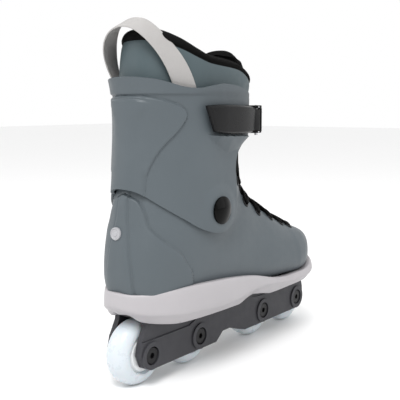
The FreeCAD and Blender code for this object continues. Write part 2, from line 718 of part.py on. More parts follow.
def loop_rivets():
    """One rivet per leg of the loop, through the cuff wall."""
    return Part.makeCompound([
        rod((-95, sign * 39.0, 259), (-95, sign * 52, 259), 2.5) for _, sign in SIDE])


def buckle_rivets():
    return Part.makeCompound([
        rod((x, -50.0, z), (x, -40.0, z), 2.0) for x, z in ((-24, 226), (-24, 240), (-36, 233))])


def strap_anchor():
    return rod((-40, 40.0, 233), (-40, 55.0, 233), 3.0)


def buckle_parts():
    """Base riveted to the cuff, hinged lever, pin, ladder strap across the front."""
    z = size("buckle_z")
    x, y = size("lever_hinge_x"), size("lever_hinge_y")
    pin_radius = size("lever_pin")
    wall = leg_solid(CUFF, 0)
    plate = leg_solid(CUFF, -2.2).cut(wall).common(block((-44, 8), (-70, -25), (z - 12, z + 12)))
    plate = biggest(plate)
    ears = [block((x - 5, x + 9), (y - 5, y + 13), (low, low + 3)) for low in (z - 14, z + 11)]
    base = plate
    for ear in ears:
        base = base.fuse(ear)
    base = base.cut(wall).cut(rod((x, y, z - 20), (x, y, z + 20), pin_radius)).cut(buckle_rivets())
    bridge = block((x + 6, x + 9), (y - 5, y + 13), (z - 14, z + 14))
    base = biggest(base.fuse(bridge.cut(wall)))
    keep_shape(base, "buckle_base")
    keep_shape(rod((x, y, z - 14), (x, y, z + 14), pin_radius), "lever_pin")
    keep_shape(buckle_rivets().cut(plate), "buckle_rivets")
    lever = lever_solid(x, y, z)
    keep_shape(lever, "buckle_lever")
    strap = leg_solid(CUFF, -6.0).cut(leg_solid(CUFF, -4.0))
    strap = strap.common(block((-52, 60), (-24, 80), (z - 9, z + 9)))
    strap = biggest(strap.cut(strap_anchor()))
    keep_shape(strap, "ladder_strap")
    keep_shape(strap_anchor(), "strap_anchor_screw")
    keep_shape(loop_rivets(), "pull_loop_rivets")
    cuff_ring = wall.cut(leg_solid(CUFF, size("cuff_wall")))
    keep_shape(biggest(loop_solid().cut(loop_rivets()).cut(cuff_ring)), "pull_loop")


def lever_solid(x, y, z):
    """Long curved lever that lies along the cuff, with a knuckle round the hinge pin."""
    bar = leg_solid(CUFF, -8.6).cut(leg_solid(CUFF, -4.8))
    outline = slab(((x, z - 10.5), (x, z + 10.5), (x - 7, z + 10.5), (x - 10, z + 13), (-75, z + 15),
                    (-83, z + 13), (-74, z - 8), (-50, z - 12), (x - 10, z - 12.5), (x - 7, z - 10.5)),
                   -90, -30)
    bar = biggest(bar.common(outline))
    knuckle = rod((x, y, z - 10.5), (x, y, z + 10.5), 4.0)
    lever = bar.fuse(knuckle)
    return lever.cut(rod((x, y, z - 20), (x, y, z + 20), size("lever_pin") + 0.05))


# ---------------------------------------------------------------- assembly

for number, (alias, sign) in enumerate(AXLES, 1):
    wheel_parts(number, sign * size(alias))
    axle_parts(number, sign * size(alias))
frame_body()
mounting_bolts()
boot_parts()
cuff_parts()
pivot_pins()
buckle_parts()

doc.recompute()
for item in doc.Objects:
    if "Invalid" in item.State or "Error" in item.State:
        raise RuntimeError("%s failed: %s" % (item.Label, item.State))
for item in sub_parts:
    if item.Shape.isNull() or not item.Shape.isValid() or not item.Shape.Solids:
        raise RuntimeError("%s has no valid solid" % item.Label)
os.makedirs("parts", exist_ok=True)
for item in sub_parts:
    item.Shape.exportStep("parts/%s.step" % item.Label)
    print("%-20s %d solid(s) %9.0f mm3" % (item.Label, len(item.Shape.Solids), item.Shape.Volume))
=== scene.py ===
"""Looks of a right-hand inline skate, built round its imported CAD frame.

Lengths in the tables below are in millimetres; meshes are made in metres.
+X points to the toe, +Y to the inner side, +Z up, and the ground is at zero.
"""
import math

import bmesh
import bpy
import numpy as np
from mathutils import Matrix, Vector


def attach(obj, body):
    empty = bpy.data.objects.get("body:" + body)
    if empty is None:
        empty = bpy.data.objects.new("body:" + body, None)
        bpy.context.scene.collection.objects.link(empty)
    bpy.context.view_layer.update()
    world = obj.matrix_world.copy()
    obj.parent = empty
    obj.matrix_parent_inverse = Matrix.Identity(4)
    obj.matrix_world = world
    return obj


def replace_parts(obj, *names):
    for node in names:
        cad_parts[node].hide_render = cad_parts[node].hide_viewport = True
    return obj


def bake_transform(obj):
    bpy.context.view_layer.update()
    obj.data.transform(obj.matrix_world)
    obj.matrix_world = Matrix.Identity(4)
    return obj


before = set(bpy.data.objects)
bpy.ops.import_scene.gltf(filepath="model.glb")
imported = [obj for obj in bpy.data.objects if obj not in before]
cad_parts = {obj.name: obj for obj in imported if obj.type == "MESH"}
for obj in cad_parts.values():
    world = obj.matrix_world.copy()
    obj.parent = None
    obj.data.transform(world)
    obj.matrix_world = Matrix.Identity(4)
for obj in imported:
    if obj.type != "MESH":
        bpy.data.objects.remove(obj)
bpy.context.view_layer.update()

MM = 0.001
# The leg's middle, as X.
LEG_MIDDLE = -61.5


# ---------------------------------------------------------------- curves and meshes

def between(a, b, c, d, share):
    """Catmull-Rom curve from b to c, with the neighbours a and d."""
    return 0.5 * (2 * b + (c - a) * share + (2 * a - 5 * b + 4 * c - d) * share ** 2
                  + (3 * b - a - 3 * c + d) * share ** 3)


def smooth(rows, at):
    """Smooth curve through the rows of a table, at fractional row numbers."""
    rows = np.asarray(rows, float)
    last = len(rows) - 1
    at = np.clip(np.asarray(at, float), 0, last - 1e-9)
    low = np.floor(at).astype(int)
    share = (at - low)[..., None]
    padded = np.vstack([2 * rows[0] - rows[1], rows, 2 * rows[-1] - rows[-2]])
    return between(*(padded[low + shift] for shift in range(4)), share)


def smooth_loop(rows, at):
    """The same round a closed loop of rows."""
    rows = np.asarray(rows, float)
    count = len(rows)
    at = np.mod(np.asarray(at, float), count)
    low = np.floor(at).astype(int)
    share = (at - low)[..., None]
    return between(*(rows[(low + shift) % count] for shift in (-1, 0, 1, 2)), share)


def step_up(value, low, high):
    """Smooth step from 0 at low to 1 at high."""
    share = np.clip((np.asarray(value, float) - low) / (high - low), 0, 1)
    return share * share * (3 - 2 * share)


def along_line(points, count):
    """Points evenly spaced along a smooth open line through a few control points."""
    dense = smooth(points, np.linspace(0, len(points) - 1, 40 * len(points)))
    gaps = np.linalg.norm(np.diff(dense, axis=0), axis=1)
    length = np.concatenate([[0], np.cumsum(gaps)])
    even = np.linspace(0, length[-1], count)
    return np.stack([np.interp(even, length, dense[:, k]) for k in range(dense.shape[1])], axis=1)


def line_distance(points, line):
    """Distance from 2-D points to a polyline, and the side that they lie on."""
    best = np.full(points.shape[:-1], 1e9)
    aside = np.zeros(points.shape[:-1])
    for start, end in zip(line[:-1], line[1:]):
        step = end - start
        rel = points - start
        share = np.clip((rel @ step) / (step @ step), 0, 1)
        gap = np.linalg.norm(rel - share[..., None] * step, axis=-1)
        cross = (step[0] * rel[..., 1] - step[1] * rel[..., 0]) / np.linalg.norm(step)
        tie = (np.abs(gap - best) < 1e-6) & (np.abs(cross) > np.abs(aside))
        closer = (gap < best - 1e-6) | tie
        aside = np.where(closer, cross, aside)
        best = np.where(closer, gap, best)
    return best, np.sign(aside)


def grid_normals(grid, wrap=False):
    """Unit normals of a grid of points, by central differences."""
    if wrap:
        across = np.roll(grid, -1, axis=1) - np.roll(grid, 1, axis=1)
    else:
        across = np.gradient(grid, axis=1)
    up = np.gradient(grid, axis=0)
    normal = np.cross(across, up)
    length = np.linalg.norm(normal, axis=-1, keepdims=True)
    return normal / np.maximum(length, 1e-9)


def grid_faces(rows, columns, wrap=False, start=0):
    faces = []
    for row in range(rows - 1):
        for column in range(columns if wrap else columns - 1):
            after = (column + 1) % columns
            faces.append((start + row * columns + column, start + row * columns + after,
                          start + (row + 1) * columns + after, start + (row + 1) * columns + column))
    return faces


def tube_faces(rows, columns):
    """Faces of a tube of rings, closed by a face at each end."""
    ends = [tuple(range(columns)), tuple((rows - 1) * columns + k for k in range(columns))]
    return grid_faces(rows, columns, wrap=True) + ends


def add_object(name, points, faces, material, body=None, smooth_angle=40, second=None, from_face=0):
    """Mesh object from points in millimetres; it rides on the body.

    Faces from a number on may have a second material.
    """
    mesh = bpy.data.meshes.new(name)
    mesh.from_pydata([tuple(point) for point in np.asarray(points, float) * MM], [], faces)
    obj = bpy.data.objects.new(name, mesh)
    bpy.context.scene.collection.objects.link(obj)
    mesh.materials.append(material)
    if second:
        mesh.materials.append(second)
        for index in range(from_face, len(mesh.polygons)):
            mesh.polygons[index].material_index = 1
    clean(obj, smooth_angle)
    if body:
        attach(obj, body)
    return obj


def clean(obj, smooth_angle=40):
    """Weld, point the normals outwards and shade smooth except at real edges."""
    work = bmesh.new()
    work.from_mesh(obj.data)
    bmesh.ops.remove_doubles(work, verts=work.verts, dist=0.00001)
    bmesh.ops.dissolve_degenerate(work, edges=work.edges, dist=0.000001)
    bmesh.ops.recalc_face_normals(work, faces=work.faces)
    limit = math.radians(smooth_angle)
    for face in work.faces:
        face.smooth = True
    for edge in work.edges:
        edge.smooth = len(edge.link_faces) == 2 and edge.calc_face_angle(0.0) < limit
    work.to_mesh(obj.data)
    work.free()


def apply_modifiers(obj):
    """Put the modifiers' result into the mesh."""
    bpy.context.view_layer.update()
    result = bpy.data.meshes.new_from_object(obj.evaluated_get(bpy.context.evaluated_depsgraph_get()))
    obj.modifiers.clear()
    obj.data = result


def bevelled(obj, name, width, segments, angle):
    """Round the edges that are sharper than an angle, and bake the modifiers."""
    edge = obj.modifiers.new(name, "BEVEL")
    edge.width = width * MM
    edge.segments = segments
    edge.limit_method = "ANGLE"
    edge.angle_limit = math.radians(angle)
    apply_modifiers(obj)
    clean(obj)


def thicken(obj, wall, rim):
    """Give a sheet its wall thickness, inwards, and round its rims."""
    solid = obj.modifiers.new("wall", "SOLIDIFY")
    solid.thickness = wall * MM
    solid.offset = -1.0
    bevelled(obj, "rim", rim, 3, 60)


def turned(name, profile, centre, axis, material, body, count=64):
    """Closed solid turned from (radius, height) points about an axis through a centre."""
    axis = Vector(axis).normalized()
    side = axis.orthogonal().normalized()
    other = axis.cross(side)
    points = []
    for radius, height in profile:
        for step in range(count):
            turn = 2 * math.pi * step / count
            ring = side * math.cos(turn) + other * math.sin(turn)
            points.append(Vector(centre) + axis * height + ring * max(radius, 0.001))
    return add_object(name, points, tube_faces(len(profile), count), material, body)


def swept(name, path, width, thick, across, material, body, sides=12, power=2.0):
    """Band of rounded section along a path; across gives its width direction at each point."""
    path = np.asarray(path, float)
    along = np.gradient(path, axis=0)
    along /= np.linalg.norm(along, axis=1, keepdims=True)
    across = np.asarray(across, float)
    across = across - along * np.sum(across * along, axis=1, keepdims=True)
    across /= np.linalg.norm(across, axis=1, keepdims=True)
    out = np.cross(along, across)
    points = []
    for k in range(len(path)):
        for step in range(sides):
            turn = 2 * math.pi * step / sides
            c, s = math.cos(turn), math.sin(turn)
            a = math.copysign(abs(c) ** (2 / power), c) * width / 2
            b = math.copysign(abs(s) ** (2 / power), s) * thick / 2
            points.append(path[k] + across[k] * a + out[k] * b)
    return add_object(name, points, tube_faces(len(path), sides), material, body, smooth_angle=50)


# ---------------------------------------------------------------- materials

def shader(name, colour, roughness, **sockets):
    """New material with a principled shader; uniform values go on its own sockets."""
    material = bpy.data.materials.new(name)
    material.use_nodes = True
    base = material.node_tree.nodes["Principled BSDF"]
    base.inputs["Base Color"].default_value = (*colour, 1)
    base.inputs["Roughness"].default_value = roughness
    for socket, value in sockets.items():
        base.inputs[socket.replace("_", " ")].default_value = value
    return material, base


def link(material, source, socket, target, name):
    material.node_tree.links.new(source.outputs[socket], target.inputs[name])


def node(material, kind, **inputs):
    made = material.node_tree.nodes.new(kind)
    for name, value in inputs.items():
        made.inputs[name.replace("_", " ")].default_value = value
    return made


def object_place(material):
    """Object coordinates in millimetres."""
    place = material.node_tree.nodes.new("ShaderNodeTexCoord")
    mapping = material.node_tree.nodes.new("ShaderNodeMapping")
    mapping.inputs["Scale"].default_value = (1 / MM, 1 / MM, 1 / MM)
    link(material, place, "Object", mapping, "Vector")
    return mapping


def noise(material, place, scale, detail=3.0, rough=0.55):
    made = node(material, "ShaderNodeTexNoise", Scale=scale, Detail=detail, Roughness=rough)
    link(material, place, "Vector", made, "Vector")
    return made


def ramp(material, source, socket, low, high, low_value, high_value):
    """Map a range of a value to a range of greys."""
    made = material.node_tree.nodes.new("ShaderNodeMapRange")
    made.inputs["From Min"].default_value = low
    made.inputs["From Max"].default_value = high
    made.inputs["To Min"].default_value = low_value
    made.inputs["To Max"].default_value = high_value
    link(material, source, socket, made, "Value")
    return made


def tinted(material, base, factor, socket, dark, light):
    """Base colour that runs from dark to light with a factor."""
    made = material.node_tree.nodes.new("ShaderNodeMix")
    made.data_type = "RGBA"
    colour_in = [item for item in made.inputs if item.type == "RGBA"]
    colour_in[0].default_value = (*dark, 1)
    colour_in[1].default_value = (*light, 1)
    link(material, factor, socket, made, "Factor")
    colour_out = [item for item in made.outputs if item.type == "RGBA"][0]
    material.node_tree.links.new(colour_out, base.inputs["Base Color"])


def bumped(material, base, source, socket, distance):
    """Raise the surface by a height in metres."""
    made = node(material, "ShaderNodeBump", Strength=1.0, Distance=distance)
    link(material, source, socket, made, "Height")
    link(material, made, "Normal", base, "Normal")


def scaled(colour, factor):
    return tuple(channel * factor for channel in colour)


def moulded(name, colour, roughness, grain=0.00005, grain_scale=1.6, mottle=0.06, gloss=0.5, **sockets):
    """Moulded plastic: fine spark-eroded grain, slight mottling, scuffs in the gloss."""
    material, base = shader(name, colour, roughness, Specular_IOR_Level=gloss, **sockets)
    place = object_place(material)
    cloud = noise(material, place, 0.018, 4.0)
    shade = ramp(material, cloud, "Fac", 0.3, 0.7, 0.0, 1.0)
    tinted(material, base, shade, "Result", scaled(colour, 1 - mottle), scaled(colour, 1 + mottle))
    scuff = noise(material, place, 0.11, 5.0, 0.65)
    worn = ramp(material, scuff, "Fac", 0.35, 0.7, roughness - 0.05, roughness + 0.07)
    link(material, worn, "Result", base, "Roughness")
    fine = noise(material, place, grain_scale, 2.0)
    bumped(material, base, fine, "Fac", grain)
    return material


def woven(name, dark, light, pitch, depth, sheen=0.3, gloss=0.1):
    """Woven or knitted textile: two crossed waves of threads."""
    material, base = shader(name, light, 0.85, Sheen_Weight=sheen, Specular_IOR_Level=gloss)
    place = object_place(material)
    waves = []
    for direction in ("X", "Z"):
        wave = node(material, "ShaderNodeTexWave", Scale=1.0 / pitch, Distortion=0.25, Detail=1.0)
        wave.bands_direction = direction
        wave.wave_profile = "SIN"
        link(material, place, "Vector", wave, "Vector")
        waves.append(wave)
    product = material.node_tree.nodes.new("ShaderNodeMath")
    product.operation = "MAXIMUM"
    for index, wave in enumerate(waves):
        material.node_tree.links.new(wave.outputs["Fac"], product.inputs[index])
    tinted(material, base, product, "Value", dark, light)
    bumped(material, base, product, "Value", depth)
    return material


SHELL_GREY = (0.074, 0.089, 0.099)
SOLE_GREY = (0.350, 0.335, 0.348)
FRAME_GREY = (0.034, 0.034, 0.039)
LINER_GREY = (0.054, 0.076, 0.084)

shell_plastic = moulded("shell_plastic", SHELL_GREY, 0.44, mottle=0.03, gloss=0.32)
sole_plastic = moulded("sole_plastic", SOLE_GREY, 0.42, mottle=0.025)
frame_plastic = moulded("frame_plastic", FRAME_GREY, 0.50, grain=0.00008, mottle=0.08, gloss=0.25)
lever_plastic = moulded("lever_plastic", (0.006, 0.006, 0.0065), 0.30,
                        grain=0.00003, mottle=0.06, gloss=0.16)
buckle_plastic = moulded("buckle_plastic", (0.003, 0.003, 0.003), 0.30, mottle=0.1, gloss=0.07)
cap_plastic = moulded("cap_plastic", (0.001, 0.001, 0.001), 0.08, grain=0.00001, mottle=0.1, gloss=0.09)
urethane = moulded("wheel_urethane", (0.52, 0.565, 0.60), 0.30, grain=0.00002, mottle=0.008,
                   Subsurface_Weight=0.15, Subsurface_Scale=0.004)
hub_plastic = moulded("hub_plastic", (0.72, 0.74, 0.75), 0.3, mottle=0.02)
black_steel = moulded("black_steel", (0.008, 0.008, 0.009), 0.36, grain=0.00002, mottle=0.15, gloss=0.25,
                      Metallic=0.3)
steel = moulded("steel", (0.52, 0.52, 0.54), 0.28, grain=0.00002, mottle=0.08, Metallic=1.0)
aluminium = moulded("aluminium", (0.62, 0.62, 0.64), 0.32, mottle=0.05, Metallic=1.0)
liner_skin = moulded("liner_skin", LINER_GREY, 0.50, grain=0.00018, grain_scale=0.9, mottle=0.05, gloss=0.3)
lining_mesh = woven("lining_mesh", (0.002, 0.002, 0.002), (0.008, 0.008, 0.008), 1.3, 0.0003,
                    sheen=0.0, gloss=0.05)
lace_weave = woven("lace_weave", (0.001, 0.001, 0.001), (0.006, 0.006, 0.006), 0.9, 0.0002, sheen=0.0)
loop_weave = woven("loop_weave", (0.34, 0.33, 0.325), (0.50, 0.485, 0.475), 0.8, 0.0002, sheen=0.05)
badge_plastic = moulded("badge_plastic", (0.33, 0.33, 0.345), 0.3, mottle=0.03)
footbed_foam = woven("footbed_foam", (0.02, 0.02, 0.022), (0.05, 0.05, 0.052), 1.6, 0.0003)


# ---------------------------------------------------------------- boot shell

# Half outlines of a cross-section: (depth from the top, width), both as shares.
FOOT_SECTION = ((0, 0), (0.05, 0.36), (0.22, 0.74), (0.52, 0.97), (0.82, 1.0), (0.975, 0.8), (1.0, 0.4))
LEG_SECTION = ((0, 0), (0.035, 0.36), (0.18, 0.74), (0.42, 1.0), (0.70, 0.86), (0.90, 0.56),
               (0.985, 0.24))
TOE_SECTION = ((0, 0), (0.03, 0.42), (0.14, 0.80), (0.38, 0.98), (0.76, 1.0), (0.965, 0.86),
               (1.0, 0.46))
# Toe sections: X, top, bottom, right half, left half, sideways shift, share of the boxy toe outline.
TOE = ((143.6, 86, 82, 5, 5, 4, 1), (142.8, 91, 77, 13, 11, 4, 1), (139.8, 97, 74, 21, 18, 4, 1),
       (133, 106, 71.5, 31, 29, 3.5, 1), (121, 113, 69.5, 38.3, 36, 2, 1),
       (104, 118.5, 68.5, 45, 41.5, 0.5, 0.7), (88, 124.5, 68, 48, 44, 0, 0.3),
       (75, 130, 68, 48, 44.5, 0, 0.1))
# Sections fanned round the instep: angle, inner reach, outer reach, right half, left half, leg share.
FAN_CENTRE = (75.0, 205.0)
FAN = ((18, 66, 143, 47.5, 44.5, 0.05), (35, 64.3, 167, 45.5, 43, 0.2), (48, 63.5, 204, 45.5, 43, 0.4),
       (56, 64, 241, 45.5, 43.5, 0.55), (61, 65, 246.5, 46, 44, 0.7), (67, 66, 236, 46.5, 45, 0.8),
       (74, 68, 220.5, 46.8, 46, 0.9), (80, 69, 211.5, 46.0, 46.0, 1.0),
       (86, 70, 201, 43.5, 43.5, 1.0), (91, 71, 199.5, 42.5, 42.5, 1.0))
SLOT_HALF = 24.0
SLOT_FRONT = 99.0


def boot_stations():
    """Rows of top X, top Z, bottom X, bottom Z, right half, left half, shift, leg share and toe share."""
    rows = [(x, high, x, low, right, left, shift, 0.0, boxy)
            for x, high, low, right, left, shift, boxy in TOE]
    for angle, near, far, right, left, leg in FAN:
        sine, cosine = math.sin(math.radians(angle)), math.cos(math.radians(angle))
        rows.append((FAN_CENTRE[0] - near * sine, FAN_CENTRE[1] - near * cosine,
                     FAN_CENTRE[0] - far * sine, FAN_CENTRE[1] - far * cosine, right, left, 0.0, leg, 0.0))
    return np.array(rows)


STATIONS = boot_stations()
LAST_STATION = len(STATIONS) - 1.0


def section_loop(profile):
    """Closed loop of a section: down the right side from the top, and up the left side."""
    right = [(depth, -width) for depth, width in profile]
    left = [(depth, width) for depth, width in profile[:0:-1]]
    return np.array(right + [(1.0, 0.0)] + left)


FOOT_LOOP = section_loop(FOOT_SECTION)
LEG_LOOP = section_loop(LEG_SECTION)
TOE_LOOP = section_loop(TOE_SECTION)
LOOP_STEPS = len(FOOT_LOOP)


def boot_points(station, around):
    """Points of the boot's outside at station numbers and places round the section."""
    row = smooth(STATIONS, station)
    leg, toe = np.clip(row[..., 7:8], 0, 1), np.clip(row[..., 8:9], 0, 1)
    shape = ((1 - leg - toe) * smooth_loop(FOOT_LOOP, around) + leg * smooth_loop(LEG_LOOP, around)
             + toe * smooth_loop(TOE_LOOP, around))
    depth, aside = shape[..., 0], shape[..., 1]
    half = np.where(aside < 0, row[..., 4], row[..., 5])
    x = row[..., 0] + (row[..., 2] - row[..., 0]) * depth
    z = row[..., 1] + (row[..., 3] - row[..., 1]) * depth
    return np.stack([x, row[..., 6] + aside * half, z], axis=-1)


def slot_edges(stations):
    """Places round each section where the laced opening starts and ends."""
    sample = np.linspace(0, 3.2, 161)
    starts, ends = [], []
    for station in stations:
        right = boot_points(np.full(161, station), sample)
        left = boot_points(np.full(161, station), LOOP_STEPS - sample)
        top_x = right[0, 0]
        share = np.clip((SLOT_FRONT - top_x) / 16.0, 0, 1)
        half = SLOT_HALF * math.sqrt(max(0.0, 1 - (1 - share) ** 2))
        shift = smooth(STATIONS, station)[6] * (1 - share)
        starts.append(np.interp(half, -(right[:, 1] - shift), sample) if half > 0 else 0.0)
        ends.append(LOOP_STEPS - (np.interp(half, left[:, 1] - shift, sample) if half > 0 else 0.0))
    return np.array(starts), np.array(ends)


# Moulded lines in unrolled coordinates: way round from the rear middle, and height.
BOOT_PANEL = ((-2, 172), (3.3, 170), (11.1, 165.8), (16, 156), (20.3, 143), (31.9, 130), (43.4, 120),
              (49.4, 110), (53.8, 103), (56, 93), (56.5, 82))
BOOT_SPINE = ((3.9, 174), (4.6, 153), (7.0, 132), (8.7, 116), (10.5, 100.5), (11.1, 82))


def unrolled(points):
    """Way round the leg from the rear middle, the same on both sides, and height."""
    around = np.arctan2(np.abs(points[..., 1]), LEG_MIDDLE - points[..., 0])
    return np.stack([60 * around, points[..., 2]], axis=-1)


def moulded_step(plane, line, height, groove, width=0.7):
    """Raised area on the rear side of a line, with a fine groove along its edge."""
    gap, side = line_distance(plane, along_line(line, 90))
    return height * step_up(gap * side, -width, width) - groove * np.exp(-(gap / width) ** 2)


def boot_relief(points):
    """Height of the moulded details over the plain boot surface."""
    plane = unrolled(points)
    rear = step_up(plane[..., 0], 92, 80)
    relief = moulded_step(plane, BOOT_PANEL[::-1], 2.0, 0.9, 0.9)
    relief = relief + moulded_step(plane, BOOT_SPINE[::-1], 1.5, 0.8, 0.9)
    return relief * rear * step_up(points[..., 0], -20, -60)


def boot_shell():
    stations = np.concatenate([np.linspace(0, 1, 14)[:-1], np.linspace(1, LAST_STATION, 470)])
    starts, ends = slot_edges(stations)
    columns = 300
    share = np.linspace(0, 1, columns)
    around = starts[:, None] + (ends - starts)[:, None] * share[None, :]
    grid = boot_points(np.repeat(stations[:, None], columns, axis=1), around)
    normal = -grid_normals(grid)
    centre = grid.mean(axis=1, keepdims=True)
    normal *= np.sign(np.sum((grid - centre) * normal, axis=-1).mean())
    grid = grid + normal * boot_relief(grid)[..., None]
    shell = add_object("boot_shell_skin", grid.reshape(-1, 3), grid_faces(len(stations), columns),
                       shell_plastic, "boot")
    thicken(shell, 3.2, 0.8)
    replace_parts(shell, "boot_shell")


# ---------------------------------------------------------------- cuff

# Sections: height, rear X, front X, half-width.
CUFF = ((120, -139.5, 22, 51.5), (140, -139.5, 22, 51.8), (160, -138.8, 22, 51.8),
        (180, -137.3, 22, 50.8), (200, -135.3, 22, 49.0), (220, -133.8, 22, 48.3),
        (240, -133.3, 22, 49.0), (260, -135, 22, 51.0), (280, -140, 22, 54.0))
SECTION_POWER = 2.5
CUFF_BACK_POWER = 1.75
COLLAR_BACK_POWER = 2.2
# Half outline seen from the side: lower edge from the rear, front edge upwards, upper edge from the rear.
CUFF_LOW = ((-137.5, 176.2), (-137.0, 176.1), (-135, 175.0), (-130, 170.6), (-122, 163), (-112, 155.4),
            (-101, 148), (-90, 141), (-76, 135.5), (-64, 133.8), (-53, 136), (-45, 141))
CUFF_FRONT = ((-45, 141), (-40, 150), (-38.5, 165), (-38, 188), (-32, 203), (-19, 212.5), (-4, 218),
              (-1, 226), (-2, 240), (-5, 252))
CUFF_HIGH = ((-137.4, 270.8), (-136.6, 270.8), (-131, 270), (-120, 268), (-103, 263), (-88, 261.5),
             (-72, 264), (-58, 265.5), (-40, 264.5), (-22, 261), (-10, 257.5), (-5, 252))
PIVOT = (-64.0, 154.0)


def ring_points(table, z, turn, grow=0.0, back_power=CUFF_BACK_POWER):
    """Points of a rounded ring; turn is 0 at the rear and 1 at the front, signed by side."""
    low, pitch = table[0][0], table[1][0] - table[0][0]
    row = smooth(table, (z - low) / pitch)
    angle = math.pi * (1 - np.abs(turn))
    power = np.where(np.cos(angle) > 0, SECTION_POWER, back_power)
    along = np.sign(np.cos(angle)) * np.abs(np.cos(angle)) ** (2 / power)
    aside = np.sign(turn) * np.abs(np.sin(angle)) ** (2 / power)
    reach = np.where(along > 0, row[..., 2] - LEG_MIDDLE, LEG_MIDDLE - row[..., 1]) + grow
    return np.stack([LEG_MIDDLE + along * reach, aside * (row[..., 3] + grow), z], axis=-1)


def turn_at(table, z, x):
    """How far round the ring a place with this X lies."""
    low, pitch = table[0][0], table[1][0] - table[0][0]
    row = smooth(table, (z - low) / pitch)
    reach = np.where(x > LEG_MIDDLE, row[..., 2] - LEG_MIDDLE, LEG_MIDDLE - row[..., 1])
    along = np.clip((x - LEG_MIDDLE) / reach, -1, 1)
    cosine = np.sign(along) * np.abs(along) ** (np.where(along > 0, SECTION_POWER, CUFF_BACK_POWER) / 2)
    return 1 - np.arccos(cosine) / math.pi


def border(table, line, count):
    """Outline given as (X, Z) turned into (turn, Z), evenly spaced."""
    places = along_line(line, count)
    turn = turn_at(table, places[:, 1], places[:, 0])
    return np.stack([turn, places[:, 1]], axis=1)


def coons(low, high, rear, front):
    """Grid of (turn, Z) spanned by four border lines."""
    u = np.linspace(0, 1, len(low))[None, :, None]
    v = np.linspace(0, 1, len(rear))[:, None, None]
    corners = ((1 - u) * (1 - v) * low[0] + u * (1 - v) * low[-1]
               + (1 - u) * v * high[0] + u * v * high[-1])
    return (1 - v) * low[None] + v * high[None] + (1 - u) * rear[:, None] + u * front[:, None] - corners


CUFF_PANEL = ((16.9, 150), (16.9, 172), (16.9, 183), (20.9, 197), (28.6, 211), (42.1, 225.4),
              (49.0, 234.5), (50.6, 239.5), (46.5, 244.8), (36.1, 249.6), (26.1, 252.2), (17.5, 254),
              (0, 255), (-8, 255))
CUFF_SPINE = ((7.2, 150), (7.2, 176), (7.3, 194), (7.4, 211), (8.8, 221), (10.8, 233), (14.3, 240),
              (17.6, 246.5), (16.0, 250.5), (8.4, 252.2), (0, 252.6), (-8, 252.6))
# The shelf under the buckle, by way round: its top edge, and the lower edge of its sloping face.
SHELF = ((73.6, 221, 221), (87, 220.6, 213), (108, 219.9, 204.5), (130, 219.2, 206.8),
         (145, 218.7, 215.5), (151, 218.5, 218.5))


def cuff_relief(points, side):
    """Height of the moulded details; side is -1 on the right and 1 on the left."""
    x, z = points[..., 0], points[..., 2]
    plane = unrolled(points)
    rear = step_up(plane[..., 0], 84, 70)
    relief = moulded_step(plane, CUFF_PANEL, 1.9, 0.8) * rear
    relief = relief + moulded_step(plane, CUFF_SPINE, 1.5, 0.7) * rear
    from_pivot = np.hypot(x - PIVOT[0], z - PIVOT[1])
    relief = relief + 1.5 * step_up(from_pivot, 25, 14.5)
    relief = relief + 1.5 * step_up(z, 255.2, 257.0) * step_up(plane[..., 0], 80, 40)
    relief = relief + 1.2 * step_up(z, 254, 261) * step_up(plane[..., 0], 40, 80)
    if side < 0:
        shelf = np.array(SHELF)
        top = np.interp(plane[..., 0], shelf[:, 0], shelf[:, 1])
        low = np.interp(plane[..., 0], shelf[:, 0], shelf[:, 2])
        slope = np.clip((z - low) / np.maximum(top - low, 0.5), 0, 1)
        depth = 7.5 * np.clip((top - low) / 8.0, 0, 1)
        relief = relief + depth * slope * step_up(z, top + 0.35, top - 0.35)
    return relief


def cuff_grid(rows, columns):
    """Both halves of the cuff as one grid, from the right front edge to the left one."""
    low_line, high_line = border(CUFF, CUFF_LOW, columns), border(CUFF, CUFF_HIGH, columns)
    front_line = border(CUFF, CUFF_FRONT, rows)
    rear_line = np.stack([np.zeros(rows), np.linspace(low_line[0, 1], high_line[0, 1], rows)], axis=1)
    low_line[0, 0] = high_line[0, 0] = 0.0
    half = coons(low_line, high_line, rear_line, front_line)
    turn, z = half[..., 0], half[..., 1]
    right = ring_points(CUFF, z, -np.maximum(turn, 1e-6))
    left = ring_points(CUFF, z, np.maximum(turn, 1e-6))
    outward = grid_outward(right)
    outward[:, :6, 1] *= np.linspace(0, 1, 6)
    right = right + outward * cuff_relief(right, -1)[..., None]
    left = left + outward * np.array([1, -1, 1]) * cuff_relief(left, 1)[..., None]
    left[:, 0] = right[:, 0] = 0.5 * (left[:, 0] + right[:, 0])
    grid = np.concatenate([right[:, ::-1], left[:, 1:]], axis=1)
    middle = slice(columns - 16, columns + 15)
    for _ in range(10):
        near = grid[:, columns - 17:columns + 16]
        grid[:, middle] = (near[:, :-2] + 2 * near[:, 1:-1] + near[:, 2:]) / 4
    return grid


def grid_outward(grid):
    """Grid normals that point away from the leg."""
    normal = grid_normals(grid)
    away = grid - np.array([LEG_MIDDLE, 0, 0])
    away[..., 2] = 0
    return normal * np.where(np.sum(normal * away, axis=-1).mean() < 0, -1.0, 1.0)


def cuff_shell():
    grid = cuff_grid(130, 170)
    rows, columns = grid.shape[:2]
    faces = grid_faces(rows, columns)
    shell = add_object("cuff_shell_skin", grid.reshape(-1, 3), faces, shell_plastic, "cuff")
    thicken(shell, 3.0, 0.9)
    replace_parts(shell, "cuff_shell")


# ---------------------------------------------------------------- sole plate

